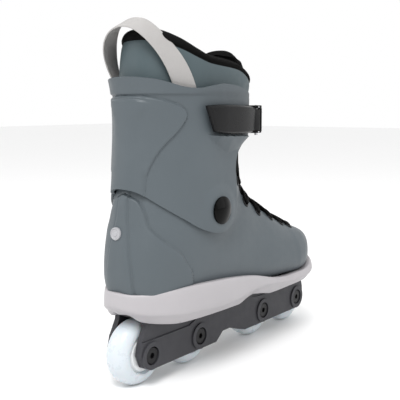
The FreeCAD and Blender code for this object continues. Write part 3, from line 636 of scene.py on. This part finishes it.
# Plan of the plate: half outline points (X, Y) for each side, from the heel to the nose.
SOLE_RIGHT = ((-150, 0), (-148, -9), (-143, -18), (-134, -27.5), (-122, -36.5), (-108, -43.5),
              (-85, -48), (-50, -50.8), (0, -52), (60, -51.5), (104, -49), (124, -40), (138, -24),
              (145, -9), (146.5, 2))
SOLE_LEFT = ((-150, 0), (-148, 9), (-143, 18), (-134, 27.5), (-122, 36), (-108, 42.5), (-85, 47),
             (-50, 49), (0, 49.5), (60, 49.5), (104, 48), (124, 41), (138, 26), (145, 12), (146.5, 2))
# Heights along the side, by X: top edge, raised rib line, lower edge.
SOLE_TOP = ((-150, 88), (-144, 86.5), (-137, 86.8), (-129, 87.2), (-119, 88.5), (-109, 90), (-95, 90.5),
            (-80, 90), (-63, 89.2), (-45, 88), (-25, 86), (-3, 82.8), (20, 76.8), (38, 72.8), (59, 71),
            (98, 71), (110, 73), (125, 77), (140, 81), (149, 83))
SOLE_RIB = ((-150, 75), (-148.6, 72.8), (-144, 70.5), (-137, 68.5), (-129, 67.5), (-119, 67),
            (-109, 66.2), (-95, 65.8), (-80, 65.2), (-63, 64.5), (-45, 64.8), (-25, 66.5), (-8, 69.4),
            (10, 69.6), (29, 67.4), (48, 65), (70, 63.5), (96, 63), (120, 67), (138, 73), (147, 77))
SOLE_LOW = ((-150, 66.8), (-148.6, 67.8), (-146.4, 67.2), (-143.7, 64.5), (-141, 61.8), (-137, 60.5),
            (-129, 59), (-119, 57.8), (-109, 57.2), (-95, 57.2), (-25, 57.6), (-14, 61.2), (-3, 63.2),
            (15, 60.2), (29, 57.2), (48, 57), (104, 57.2), (126, 62), (149, 75))


def height_at(table, x):
    table = np.array(table)
    return np.interp(x, table[:, 0], table[:, 1])


def softened(values, rounds, closed=False):
    """Running average that takes the corners off a row of values."""
    for _ in range(rounds):
        if closed:
            values = (np.roll(values, 1, 0) + 2 * values + np.roll(values, -1, 0)) / 4
        else:
            inner = (values[:-2] + 2 * values[1:-1] + values[2:]) / 4
            values = np.concatenate([values[:1], inner, values[-1:]])
    return values


def sole_plate():
    """Thick moulded base: rounded wall with a raised rib line, cupped lip and frame recess."""
    count = 420
    right = along_line(SOLE_RIGHT, count // 2 + 1)
    left = along_line(SOLE_LEFT[::-1], count // 2 + 1)
    plan = np.concatenate([right[:-1], left[:-1]])
    ahead = np.roll(plan, -1, 0) - np.roll(plan, 1, 0)
    out = np.stack([ahead[:, 1], -ahead[:, 0]], axis=1)
    out /= np.linalg.norm(out, axis=1, keepdims=True)
    out *= np.sign(np.sum(out * plan, axis=1).mean())
    x = plan[:, 0]
    top = softened(height_at(SOLE_TOP, x), 14, True)
    rib = softened(height_at(SOLE_RIB, x), 12, True)
    low = softened(height_at(SOLE_LOW, x), 3, True)
    floor = low + 2.0
    # Each ring: how far in from the plan, and its height.
    rings = [(26.0, floor + 1.5), (20.0, floor + 1.0), (14.0, low + 0.8), (10.0, low + 0.1), (7.4, low),
             (6.2, low + 0.5), (5.4, low + 1.6), (4.2, low + 0.36 * (rib - low)),
             (2.9, low + 0.72 * (rib - low)), (1.9, rib - 1.4), (1.2, rib - 0.5), (0.3, rib + 0.6),
             (0.0, rib + 1.8), (0.0, rib + 0.25 * (top - rib)), (0.2, rib + 0.5 * (top - rib)),
             (0.6, rib + 0.75 * (top - rib)), (1.0, top - 1.6), (1.5, top - 0.6), (2.3, top - 0.1),
             (3.4, top - 0.2), (5.5, top - 0.4), (9.5, top - 0.8), (11.6, top - 1.6), (12.0, top - 4.0),
             (12.6, low + 10.0), (14.0, low + 8.0)]
    grid = []
    for inset, height in rings:
        ring = plan - out * inset
        grid.append(np.stack([ring[:, 0], ring[:, 1], np.broadcast_to(height, x.shape)], axis=1))
    grid = np.array(grid)
    rows, columns = grid.shape[:2]
    faces = grid_faces(rows, columns, wrap=True)
    plate = add_object("sole_plate_skin", grid.reshape(-1, 3), faces, sole_plastic, "boot")
    close_rim(plate)
    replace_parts(plate, "sole_plate")


def close_rim(obj):
    """Close the open ends of a ring-shaped sheet, each with one face."""
    work = bmesh.new()
    work.from_mesh(obj.data)
    bmesh.ops.holes_fill(work, edges=[edge for edge in work.edges if edge.is_boundary])
    bmesh.ops.recalc_face_normals(work, faces=work.faces)
    work.to_mesh(obj.data)
    work.free()


# ---------------------------------------------------------------- liner, collar and tongue

# Sections of the collar: height, rear X, front X, half-width; and its top edge by X.
COLLAR = ((188, -123, 12, 40.0), (204, -123.5, 13, 40.5), (220, -124, 14, 41.0), (236, -124, 18, 41.0),
          (252, -124, 27, 41.0), (268, -123.5, 34, 41.0), (284, -122, 30, 40.5),
          (300, -119.5, 16, 39.5), (316, -116, 2, 38.0))
COLLAR_TOP = ((-125, 313), (-118, 312), (-109, 309), (-95, 304), (-82, 298.5), (-67, 293.5), (-50, 291),
              (-30, 289.5), (-12, 287), (5, 281), (20, 272), (30, 264), (40, 260))
COLLAR_OPEN = 0.80
# The tongue down its middle: X, Z, half-width, drop of its edges, thickness.
TONGUE = ((103, 113.5, 7, 1, 3), (97, 117.4, 12, 4, 6), (88, 122.2, 20, 10, 8), (75, 128.6, 26, 13, 8),
          (55, 141.8, 27, 15, 8), (46, 147.4, 27, 16, 8), (38, 152.6, 27, 17, 9),
          (28, 162.6, 27, 20, 9), (23.2, 169.6, 27.5, 22, 10), (20.8, 175.4, 28, 23, 10),
          (19.0, 182, 29, 24, 10), (18, 193, 30, 25, 11), (17.5, 207, 31, 26, 11),
          (17.5, 220, 32, 26, 12), (19.0, 236, 33, 26, 13), (24.5, 252, 33.5, 26, 14),
          (27.5, 268, 33.5, 25, 14), (19.5, 284, 33, 22, 14), (9, 297, 30, 15, 11), (1, 303, 23, 8, 6))


def puffed(piece, cap, held=None):
    """Blow the piece up a little as cloth, hold some of its points, and cap how far a point moves."""
    cloth = piece.modifiers.new("cloth", "CLOTH")
    cloth.settings.quality = 6
    cloth.settings.mass = 0.25
    cloth.settings.tension_stiffness = cloth.settings.compression_stiffness = 12
    cloth.settings.use_pressure = True
    cloth.settings.uniform_pressure_force = 4.0
    cloth.settings.effector_weights.gravity = 0.0
    if held:
        group = piece.vertex_groups.new(name="held")
        group.add(held, 1.0, "REPLACE")
        cloth.settings.vertex_group_mass = "held"
    scene = bpy.context.scene
    for step in range(1, 21):
        scene.frame_set(step)
    result = piece.evaluated_get(bpy.context.evaluated_depsgraph_get()).data
    moved = [vertex.co.copy() for vertex in result.vertices]
    piece.modifiers.clear()
    scene.frame_set(1)
    for vertex, place in zip(piece.data.vertices, moved):
        step = place - vertex.co
        if step.length > cap * MM:
            step *= cap * MM / step.length
        vertex.co = vertex.co + step
    piece.vertex_groups.clear()


def subdivided(piece):
    finer = piece.modifiers.new("finer", "SUBSURF")
    finer.levels = finer.render_levels = 1
    apply_modifiers(piece)
    clean(piece, 70)


def liner_collar():
    """Padded collar: grey skin outside, black knitted roll over the top and lining inside."""
    turns = np.linspace(-COLLAR_OPEN, COLLAR_OPEN, 121)
    rounding = np.clip((np.abs(turns) - COLLAR_OPEN + 0.045) / 0.045, 0, 1)
    full = np.sqrt(1 - 0.97 * rounding ** 2)
    at_top = ring_points(COLLAR, np.full(turns.shape, 280.0), turns, 0, COLLAR_BACK_POWER)
    top = height_at(COLLAR_TOP, at_top[:, 0]) - 9 * (1 - full)
    top = softened(top, 4)
    band = np.interp(at_top[:, 0], (-118, 20), (10.0, 6.5))
    low = np.full(turns.shape, 214.0)
    seam = top - band
    # Each ring: how far in from the outside, and its height; the black cloth starts at the seam.
    grey = [(2.5, low), (1.0, low + 4), (0.4, low + 0.25 * (seam - low)),
            (0.2, low + 0.5 * (seam - low)), (0.0, low + 0.7 * (seam - low)),
            (0.0, low + 0.85 * (seam - low)), (0.2, seam - 2.4), (1.0, seam - 0.6)]
    black = [(1.3, seam), (0.4, seam + 0.8), (-0.4, seam + 2.0), (-0.6, seam + 0.4 * band),
             (0.4, top - 2.8), (3.0, top - 1.0), (6.5, top), (10.0, top - 0.2), (13.5, top - 2.0),
             (16.0, top - 5.5), (16.8, top - 11), (16.0, top - 20), (14.5, top - 32), (13.5, low + 12),
             (12.0, low), (7.0, low - 1)]
    grid = []
    for inset, height in grey + black:
        inset = 7.0 + (inset - 7.0) * full
        grid.append(np.array([
            ring_points(COLLAR, np.array(level), np.array(turn), -depth, COLLAR_BACK_POWER)
            for level, turn, depth in zip(height, turns, inset)]))
    grid.append(grid[0])
    grid = np.array(grid)
    rows, columns = grid.shape[:2]
    faces = grid_faces(rows, columns)
    faces.append(tuple(row * columns for row in range(rows - 1)))
    faces.append(tuple(row * columns + columns - 1 for row in range(rows - 1)))
    collar = add_object("liner_collar_pad", grid.reshape(-1, 3), faces, liner_skin, None, 60,
                        lining_mesh, (len(grey) - 1) * (columns - 1))
    fixed = [vertex.index for vertex in collar.data.vertices if vertex.co.z < 0.262]
    puffed(collar, 3.0, fixed)
    subdivided(collar)
    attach(collar, "cuff")
    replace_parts(collar, "liner_collar")


def tongue():
    """Padded tongue under the lace and up the shin, black cloth all over."""
    count, around = 96, 56
    rows = along_line(np.array(TONGUE), count)
    middle = np.stack([rows[:, 0], np.zeros(count), rows[:, 1]], axis=1)
    ahead = np.gradient(middle, axis=0)
    ahead /= np.linalg.norm(ahead, axis=1, keepdims=True)
    out = np.stack([ahead[:, 2], np.zeros(count), -ahead[:, 0]], axis=1)
    turn = np.linspace(0, 2 * math.pi, around, endpoint=False)
    cosine, sine = np.cos(turn), np.sin(turn)
    aside = np.sign(cosine) * np.abs(cosine) ** 0.62
    depth = np.sign(sine) * np.abs(sine) ** 0.75
    grid = []
    for centre, normal, row in zip(middle, out, rows):
        half, drop, thick = row[2:5]
        share = np.abs(aside) ** 2.4
        lift = thick * 0.5 * (depth - 1) - drop * share
        ring = centre + normal * lift[:, None]
        ring[:, 1] = aside * half
        grid.append(ring)
    grid = np.array(grid)
    pad = add_object("tongue_pad", grid.reshape(-1, 3), tube_faces(count, around), lining_mesh, None, 70)
    fixed = [vertex.index for vertex in pad.data.vertices if vertex.co.z < 0.222]
    puffed(pad, 2.0, fixed)
    subdivided(pad)
    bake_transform(pad)
    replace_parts(pad, "tongue_lower", "tongue_upper")


def liner_boot():
    """Soft inner boot: a wall just inside the shell, open at the ankle."""
    stations = np.linspace(1.2, LAST_STATION, 90)
    around = np.linspace(0, LOOP_STEPS, 97)[:-1]
    grid = boot_points(np.repeat(stations[:, None], 96, axis=1), np.broadcast_to(around, (90, 96)))
    normal = grid_normals(grid, wrap=True)
    away = grid - grid.mean(axis=1, keepdims=True)
    normal *= np.sign(np.sum(normal * away, axis=-1).mean())
    grid = grid - normal * 5.5
    faces = grid_faces(90, 96, wrap=True)
    inner = add_object("liner_boot_pad", grid.reshape(-1, 3), faces, lining_mesh, "boot")
    thicken(inner, 4.0, 1.0)
    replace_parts(inner, "liner_boot")


# ---------------------------------------------------------------- lace and eyelets

# Eyelet rows up the instep: X and Z of the row's middle.
LACE_ROWS = ((88, 121), (72, 129.5), (55, 141), (39, 153.5), (27, 167.5), (16, 184))
EYELET = ((2.6, -2.4), (4.4, -2.4), (4.8, 0.3), (4.5, 0.9), (3.8, 1.2), (3.0, 0.9), (2.7, 0.2))
LACE_SIDE = 28.5
EDGE_SIDE = 22.0


def instep_stations():
    """Station numbers of the rows."""
    sample = np.linspace(1, LAST_STATION, 900)
    tops = boot_points(sample, np.zeros(900))
    return [sample[np.argmin(np.hypot(tops[:, 0] - x, tops[:, 2] - z))] for x, z in LACE_ROWS]


ROW_STATIONS = instep_stations()


def on_instep(station, y):
    """Point of the shell's surface at a station and a distance from the middle, and its normal."""
    sample = np.linspace(0, 3.2, 161)
    if y > 0:
        sample = LOOP_STEPS - sample
    line = boot_points(np.full(161, station), sample)
    around = np.interp(abs(y), np.abs(line[:, 1]), sample)
    places = np.array([(station, around), (station + 0.05, around), (station, around + 0.05)])
    here, further, beside = boot_points(places[:, 0], places[:, 1])
    normal = Vector(np.cross(further - here, beside - here)).normalized()
    if normal.x + normal.z < 0:
        normal = -normal
    return Vector(here), normal


def lace_point(row, y, lift, shift=0.0):
    """Point over the instep; the shift is in millimetres up the row's own direction."""
    low = ROW_STATIONS[int(row)]
    high = ROW_STATIONS[min(int(row) + 1, len(ROW_STATIONS) - 1)]
    station = low + (row - int(row)) * (high - low)
    place, normal = on_instep(station, y)
    ahead = on_instep(station + 0.1, y)[0] - on_instep(station - 0.1, y)[0]
    return place + normal * lift + ahead.normalized() * shift


def turn_points(index, sign):
    """The turn of the lace round one eyelet, the upper points first."""
    return [lace_point(index, sign * EDGE_SIDE, 2.6, 4.0), lace_point(index, sign * LACE_SIDE, 1.5, 2.8),
            lace_point(index, sign * LACE_SIDE, 1.5, -2.8), lace_point(index, sign * EDGE_SIDE, 2.6, -4.0)]


def lace_route():
    """One lace: down in a zigzag from the top row, and back up over it on the other side."""
    rows = len(LACE_ROWS)
    # The tucked end: distance from the middle, height over the shell, shift up the instep.
    tucked = ((6, 9.0, 30), (-4, 9.0, 22), (-14, 7.0, 13))
    start = [lace_point(rows - 1, y, lift, shift) for y, lift, shift in tucked]
    finish = [Vector((point.x, -point.y, point.z)) for point in start[::-1]]
    route = list(start)
    for index in range(rows - 1, -1, -1):
        sign = 1 if (rows - 1 - index) % 2 else -1
        route += turn_points(index, sign)
        if index:
            route.append(lace_point(index - 0.5, 0, 2.6))
    for index in range(rows):
        sign = 1 if (rows - 1 - index) % 2 == 0 else -1
        route += reversed(turn_points(index, sign))
        if index < rows - 1:
            route.append(lace_point(index + 0.5, 0, 5.6))
    return route + finish


def spline_points(route, resolution):
    """Points of the smooth spline that the route controls."""
    curve = bpy.data.curves.new("route", "CURVE")
    curve.dimensions = "3D"
    spline = curve.splines.new("NURBS")
    spline.points.add(len(route) - 1)
    for point, place in zip(spline.points, route):
        point.co = (*place, 1)
    spline.order_u = 3
    spline.use_endpoint_u = True
    spline.resolution_u = resolution
    holder = bpy.data.objects.new("route", curve)
    mesh = bpy.data.meshes.new_from_object(holder)
    places = np.array([tuple(vertex.co) for vertex in mesh.vertices])
    bpy.data.objects.remove(holder)
    bpy.data.curves.remove(curve)
    bpy.data.meshes.remove(mesh)
    return places


def lace():
    """Flat black lace drawn tight over the tongue."""
    path = spline_points(lace_route(), 9)
    ahead = np.gradient(path, axis=0)
    rows = np.array(LACE_ROWS)
    lean = np.interp(path[:, 2], rows[:, 1], np.linspace(0.5, 1.25, len(rows)))
    normal = np.stack([np.sin(lean), path[:, 1] / 40.0, np.cos(lean)], axis=1)
    band = swept("lace_band", path, 5.4, 2.3, np.cross(ahead, normal), lace_weave, "boot", 12, 3.0)
    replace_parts(band, "laces")


def eyelets():
    """Black eyelet ring round each hole of the flaps."""
    for index in range(len(LACE_ROWS)):
        for side, sign in (("right", -1), ("left", 1)):
            place, normal = on_instep(ROW_STATIONS[index], sign * (LACE_SIDE + 0.8))
            name = "eyelet_%s_%d" % (side, index + 1)
            ring = turned(name, EYELET, place, normal, black_steel, "boot", 32)


# ---------------------------------------------------------------- buckle

# Seen from above, as (X, Y): the ears beside the hinge, and the end block past it.
EAR = ((-18, -47.5), (-14, -52.3), (-11, -54), (-7, -54.8), (-3.5, -54.4), (0, -52.2), (2.4, -49),
       (3.6, -44.5), (3.0, -38), (-6, -40.5), (-18, -44.5))
BLOCK = ((-3.6, -54.0), (-2.9, -53.3), (-2.0, -53.7), (-1.4, -52.9), (-0.5, -52.9), (0.0, -51.9),
         (0.8, -51.3), (1.1, -50.2), (1.9, -49.4), (2.1, -48.2), (2.9, -47.0), (2.9, -45.6),
         (3.6, -44.0), (3.0, -38), (-4, -41), (-3.6, -46))


def prism(name, outline, low, high, width, material=None, body="cuff"):
    """Upright block with a given outline from above and rounded edges."""
    count = len(outline)
    points = [(x, y, z) for z in (low, high) for x, y in outline]
    faces = [tuple(range(count)), tuple(range(count, 2 * count))]
    faces += [(k, (k + 1) % count, count + (k + 1) % count, count + k) for k in range(count)]
    block = add_object(name, points, faces, material or buckle_plastic, body)
    bevelled(block, "edges", width, 3, 28)
    return block


def wrapped_plate(name, low_line, high_line, grow, height, wall, rim, material, body):
    """Plate wrapped round the cuff between two lines of (X, Z), with a rounded rim."""
    u, v = np.meshgrid(np.linspace(0, 1, 150), np.linspace(0, 1, 60))
    low, high = along_line(np.array(low_line, float), 150), along_line(np.array(high_line, float), 150)
    x = low[None, :, 0] * (1 - v) + high[None, :, 0] * v
    z = low[None, :, 1] * (1 - v) + high[None, :, 1] * v
    inside = np.minimum(np.minimum(u, 1 - u) * 70.0, np.minimum(v, 1 - v) * 25.0)
    edge = np.sqrt(1 - (1 - np.clip(inside / rim, 0, 1)) ** 2)
    grid = ring_points(CUFF, z, -turn_at(CUFF, z, x), grow + height * edge)
    plate = add_object(name, grid.reshape(-1, 3), grid_faces(60, 150), material, body)
    thicken(plate, wall, 0.3)
    return plate


def buckle():
    """Base with its ears and ribbed end block, and the lever with its rim, hinge barrel and strut."""
    base = wrapped_plate("buckle_plate", ((-40, 221.6), (-6, 221.6)), ((-40, 246), (-6, 246)),
                         2.6, 1.4, 1.2, 1.0, buckle_plastic, "cuff")
    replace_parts(base, "buckle_base")
    for name, outline, low, high in (("ear_low", EAR, 221.0, 223.2), ("ear_high", EAR, 243.8, 246.8),
                                     ("end_block", BLOCK, 222.6, 244.0)):
        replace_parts(prism("buckle_" + name, outline, low, high, 0.7), "buckle_base")
    lever = wrapped_plate("lever_plate", ((-75, 224), (-62, 221.8), (-44, 220.9), (-14, 221.3)),
                          ((-84, 246.5), (-70, 247.6), (-44, 247.2), (-14, 245.6)), 5.2, 4.0, 3.4, 2.6,
                          lever_plastic, "buckle_lever")
    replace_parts(lever, "buckle_lever")
    barrel = ((1.6, -10.3), (3.6, -10.3), (3.9, -9.9), (3.9, 9.9), (3.6, 10.3), (1.6, 10.3))
    knuckle = turned("lever_knuckle", barrel, (-6, -50, 233), (0, 0, 1), lever_plastic, "buckle_lever", 40)
    arm = [(-16.5, -46.5), (-15.5, -51.5), (-9, -53.6), (-6, -53.8), (-4.5, -50), (-6, -47.2),
           (-10, -46.2)]
    strut = prism("lever_strut", arm, 222.8, 243.2, 0.8, lever_plastic, "buckle_lever")
    for piece in (knuckle, strut):
        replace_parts(piece, "buckle_lever")


def buckle_pins():
    """Small bright pins at the hinge and on the end block."""
    profile = ((0.01, -1.4), (0.8, -1.4), (0.8, 0.1), (0.5, 0.4), (0.01, 0.45))
    places = ((-8.5, -54.6, 222.1), (-8.5, -54.6, 245.3), (-0.6, -52.8, 226), (-0.6, -52.8, 240))
    for number, (x, y, z) in enumerate(places, 1):
        axis = (0.35, -1, 0) if x > -5 else (-0.1, -1, 0)
        pin = turned("buckle_pin_%d" % number, profile, (x, y, z), axis, steel, "cuff", 20)


def strap_teeth():
    """Row of small teeth along the outside of the ladder strap."""
    front = [(-1, turn) for turn in np.linspace(0.925, 1.0, 7)[:-1]]
    teeth = front + [(1, turn) for turn in np.linspace(1.0, 0.60, 32)]
    points, faces = [], []
    for sign, turn in teeth:
        for grow, half in ((5.6, 0.0052), (7.2, 0.0022)):
            for shift, z in ((-half, 227.5), (half, 227.5), (half, 238.5), (-half, 238.5)):
                place = ring_points(CUFF, np.float64(z), np.float64(sign * min(turn + shift, 0.9999)), grow)
                points.append(place)
        base = len(points) - 8
        faces.append(tuple(base + k for k in (4, 5, 6, 7)))
        faces.append(tuple(base + k for k in (0, 1, 2, 3)))
        for k in range(4):
            after = (k + 1) % 4
            faces.append((base + k, base + after, base + 4 + after, base + 4 + k))
    rack = add_object("strap_teeth", points, faces, buckle_plastic, "cuff")
    bevelled(rack, "edges", 0.25, 2, 35)


# ---------------------------------------------------------------- pull loop

# The loop seen square on: sideways place and height along its leaning plane, near leg first.
LOOP_LINE = ((-35.0, -6), (-36.5, 8), (-35.0, 26), (-29.5, 42), (-20, 57), (-9, 67), (3, 70), (15, 68),
             (26, 61), (34, 50), (38.5, 36), (39.5, 22), (37.5, 8), (35, -6))


def pull_loop():
    """Loop of flat webbing that leans back behind the collar."""
    foot, lean, width, thick = np.array((-92.0, 0.0, 254.0)), math.radians(-26.0), 20.0, 1.5
    flat = along_line(np.array(LOOP_LINE, float), 90)
    turn_x, turn_z = math.cos(lean), math.sin(lean)
    path = np.stack([foot[0] + flat[:, 1] * turn_z, flat[:, 0], foot[2] + flat[:, 1] * turn_x], axis=1)
    twist = 0.55 * flat[:, 0] / 38.0 * step_up(flat[:, 1], 60, 0)
    across = np.stack([np.full(len(flat), turn_x), twist, np.full(len(flat), -turn_z)], axis=1)
    band = swept("pull_loop_webbing", path, width, thick, across, loop_weave, "cuff", 28, 7.0)
    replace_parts(band, "pull_loop")


def loop_rivets():
    """Flat rivet heads that hold the loop's feet inside the cuff's rim."""
    profile = ((0.01, -9.0), (2.4, -9.0), (2.4, -0.2), (4.0, 0.0), (3.6, 0.7), (2.0, 1.1), (0.01, 1.2))
    for side, sign in (("right", -1), ("left", 1)):
        rivet = turned("loop_rivet_%s" % side, profile, (-96, sign * 33.0, 258), (0.0, -sign, 0.0),
                       black_steel, "cuff", 40)
        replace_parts(rivet, "pull_loop_rivets")


def heel_badge():
    """Plain round badge on the heel spine."""
    profile = ((0.01, -2.5), (5.4, -2.5), (5.6, 0.3), (5.2, 0.9), (4.5, 1.0), (4.2, 0.5), (2.4, 0.5),
               (2.1, 0.9), (0.01, 1.0))
    badge = turned("heel_badge", profile, (-142.8, 3.0, 137.8), (-1, -0.02, 0.04),
                   badge_plastic, "boot", 56)


# ---------------------------------------------------------------- stage

def studio():
    """Pale floor and soft light from all round, with a broad key."""
    bpy.ops.mesh.primitive_plane_add(size=14, location=(0, 0, 0))
    floor = bpy.context.object
    floor.name = "floor"
    material, _ = shader("floor_paper", (0.90, 0.90, 0.90), 0.9)
    floor.data.materials.append(material)
    world = bpy.data.worlds.new("studio")
    bpy.context.scene.world = world
    world.use_nodes = True
    world.node_tree.nodes["Background"].inputs["Color"].default_value = (1, 1, 1, 1)
    world.node_tree.nodes["Background"].inputs["Strength"].default_value = 1.0
    bpy.context.scene.view_settings.view_transform = "Standard"
    for name, place, size, power in (
            ("key", (-0.9, -0.5, 1.4), 0.7, 19.0), ("fill", (0.9, -1.5, 0.7), 1.2, 3.0),
            ("rim", (-1.2, 1.0, 0.9), 0.8, 4.0)):
        light = bpy.data.lights.new(name, "AREA")
        light.energy = power
        light.size = size
        lamp = bpy.data.objects.new(name, light)
        lamp.location = place
        lamp.rotation_euler = (Vector((-0.02, 0, 0.15)) - Vector(place)).to_track_quat("-Z", "Y").to_euler()
        bpy.context.scene.collection.objects.link(lamp)


def camera():
    """View from behind the outer side, a little above the frame."""
    azimuth, pitch, roll = math.radians(37.745), math.radians(-7.423), math.radians(-0.154)
    level = math.cos(pitch)
    ahead = Vector((level * math.cos(azimuth), level * math.sin(azimuth), math.sin(pitch)))
    lens = bpy.data.cameras.new("camera")
    lens.sensor_width = 36.0
    lens.lens = 64.89
    lens.clip_start = 0.01
    view = bpy.data.objects.new("camera", lens)
    bpy.context.scene.collection.objects.link(view)
    turn = ahead.to_track_quat("-Z", "Y").to_matrix().to_4x4()
    place = Matrix.Translation((-0.5797, -0.4269, 0.2462))
    view.matrix_world = place @ turn @ Matrix.Rotation(roll, 4, "Z")
    bpy.context.scene.camera = view


# ---------------------------------------------------------------- assembly

def paint(nodes, material):
    """Give CAD nodes a procedural material."""
    for name in nodes:
        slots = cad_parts[name].data.materials
        if not slots:
            slots.append(material)
        for index in range(len(slots)):
            slots[index] = material


paint(["frame"], frame_plastic)
paint(["sole_plate"], sole_plastic)
paint(["boot_shell", "cuff_shell"], shell_plastic)
paint(["liner_boot", "liner_collar"], liner_skin)
paint(["tongue_lower", "tongue_upper"], lining_mesh)
paint(["footbed"], footbed_foam)
paint(["laces"], lace_weave)
paint(["pull_loop"], loop_weave)
paint(["buckle_lever"], lever_plastic)
paint(["buckle_base", "ladder_strap"], buckle_plastic)
paint(["cuff_bolt_right", "cuff_bolt_left"], cap_plastic)
paint(["frame_bolts", "sole_screws", "strap_anchor_screw"], black_steel)
paint(["frame_nuts", "cuff_nut_right", "cuff_nut_left"], steel)
paint(["lever_pin", "buckle_rivets", "pull_loop_rivets"], steel)
for number in (1, 2, 3, 4):
    paint(["axle_%d" % number, "axle_screw_%d" % number], black_steel)
    paint(["tyre_%d" % number], urethane)
    paint(["hub_%d" % number], hub_plastic)
    paint(["bearings_%d" % number], steel)
    paint(["bearing_spacer_%d" % number], aluminium)

boot_shell()
cuff_shell()
sole_plate()
liner_boot()
liner_collar()
tongue()
lace()
eyelets()
buckle()
buckle_pins()
strap_teeth()
pull_loop()
loop_rivets()
heel_badge()
studio()
camera()
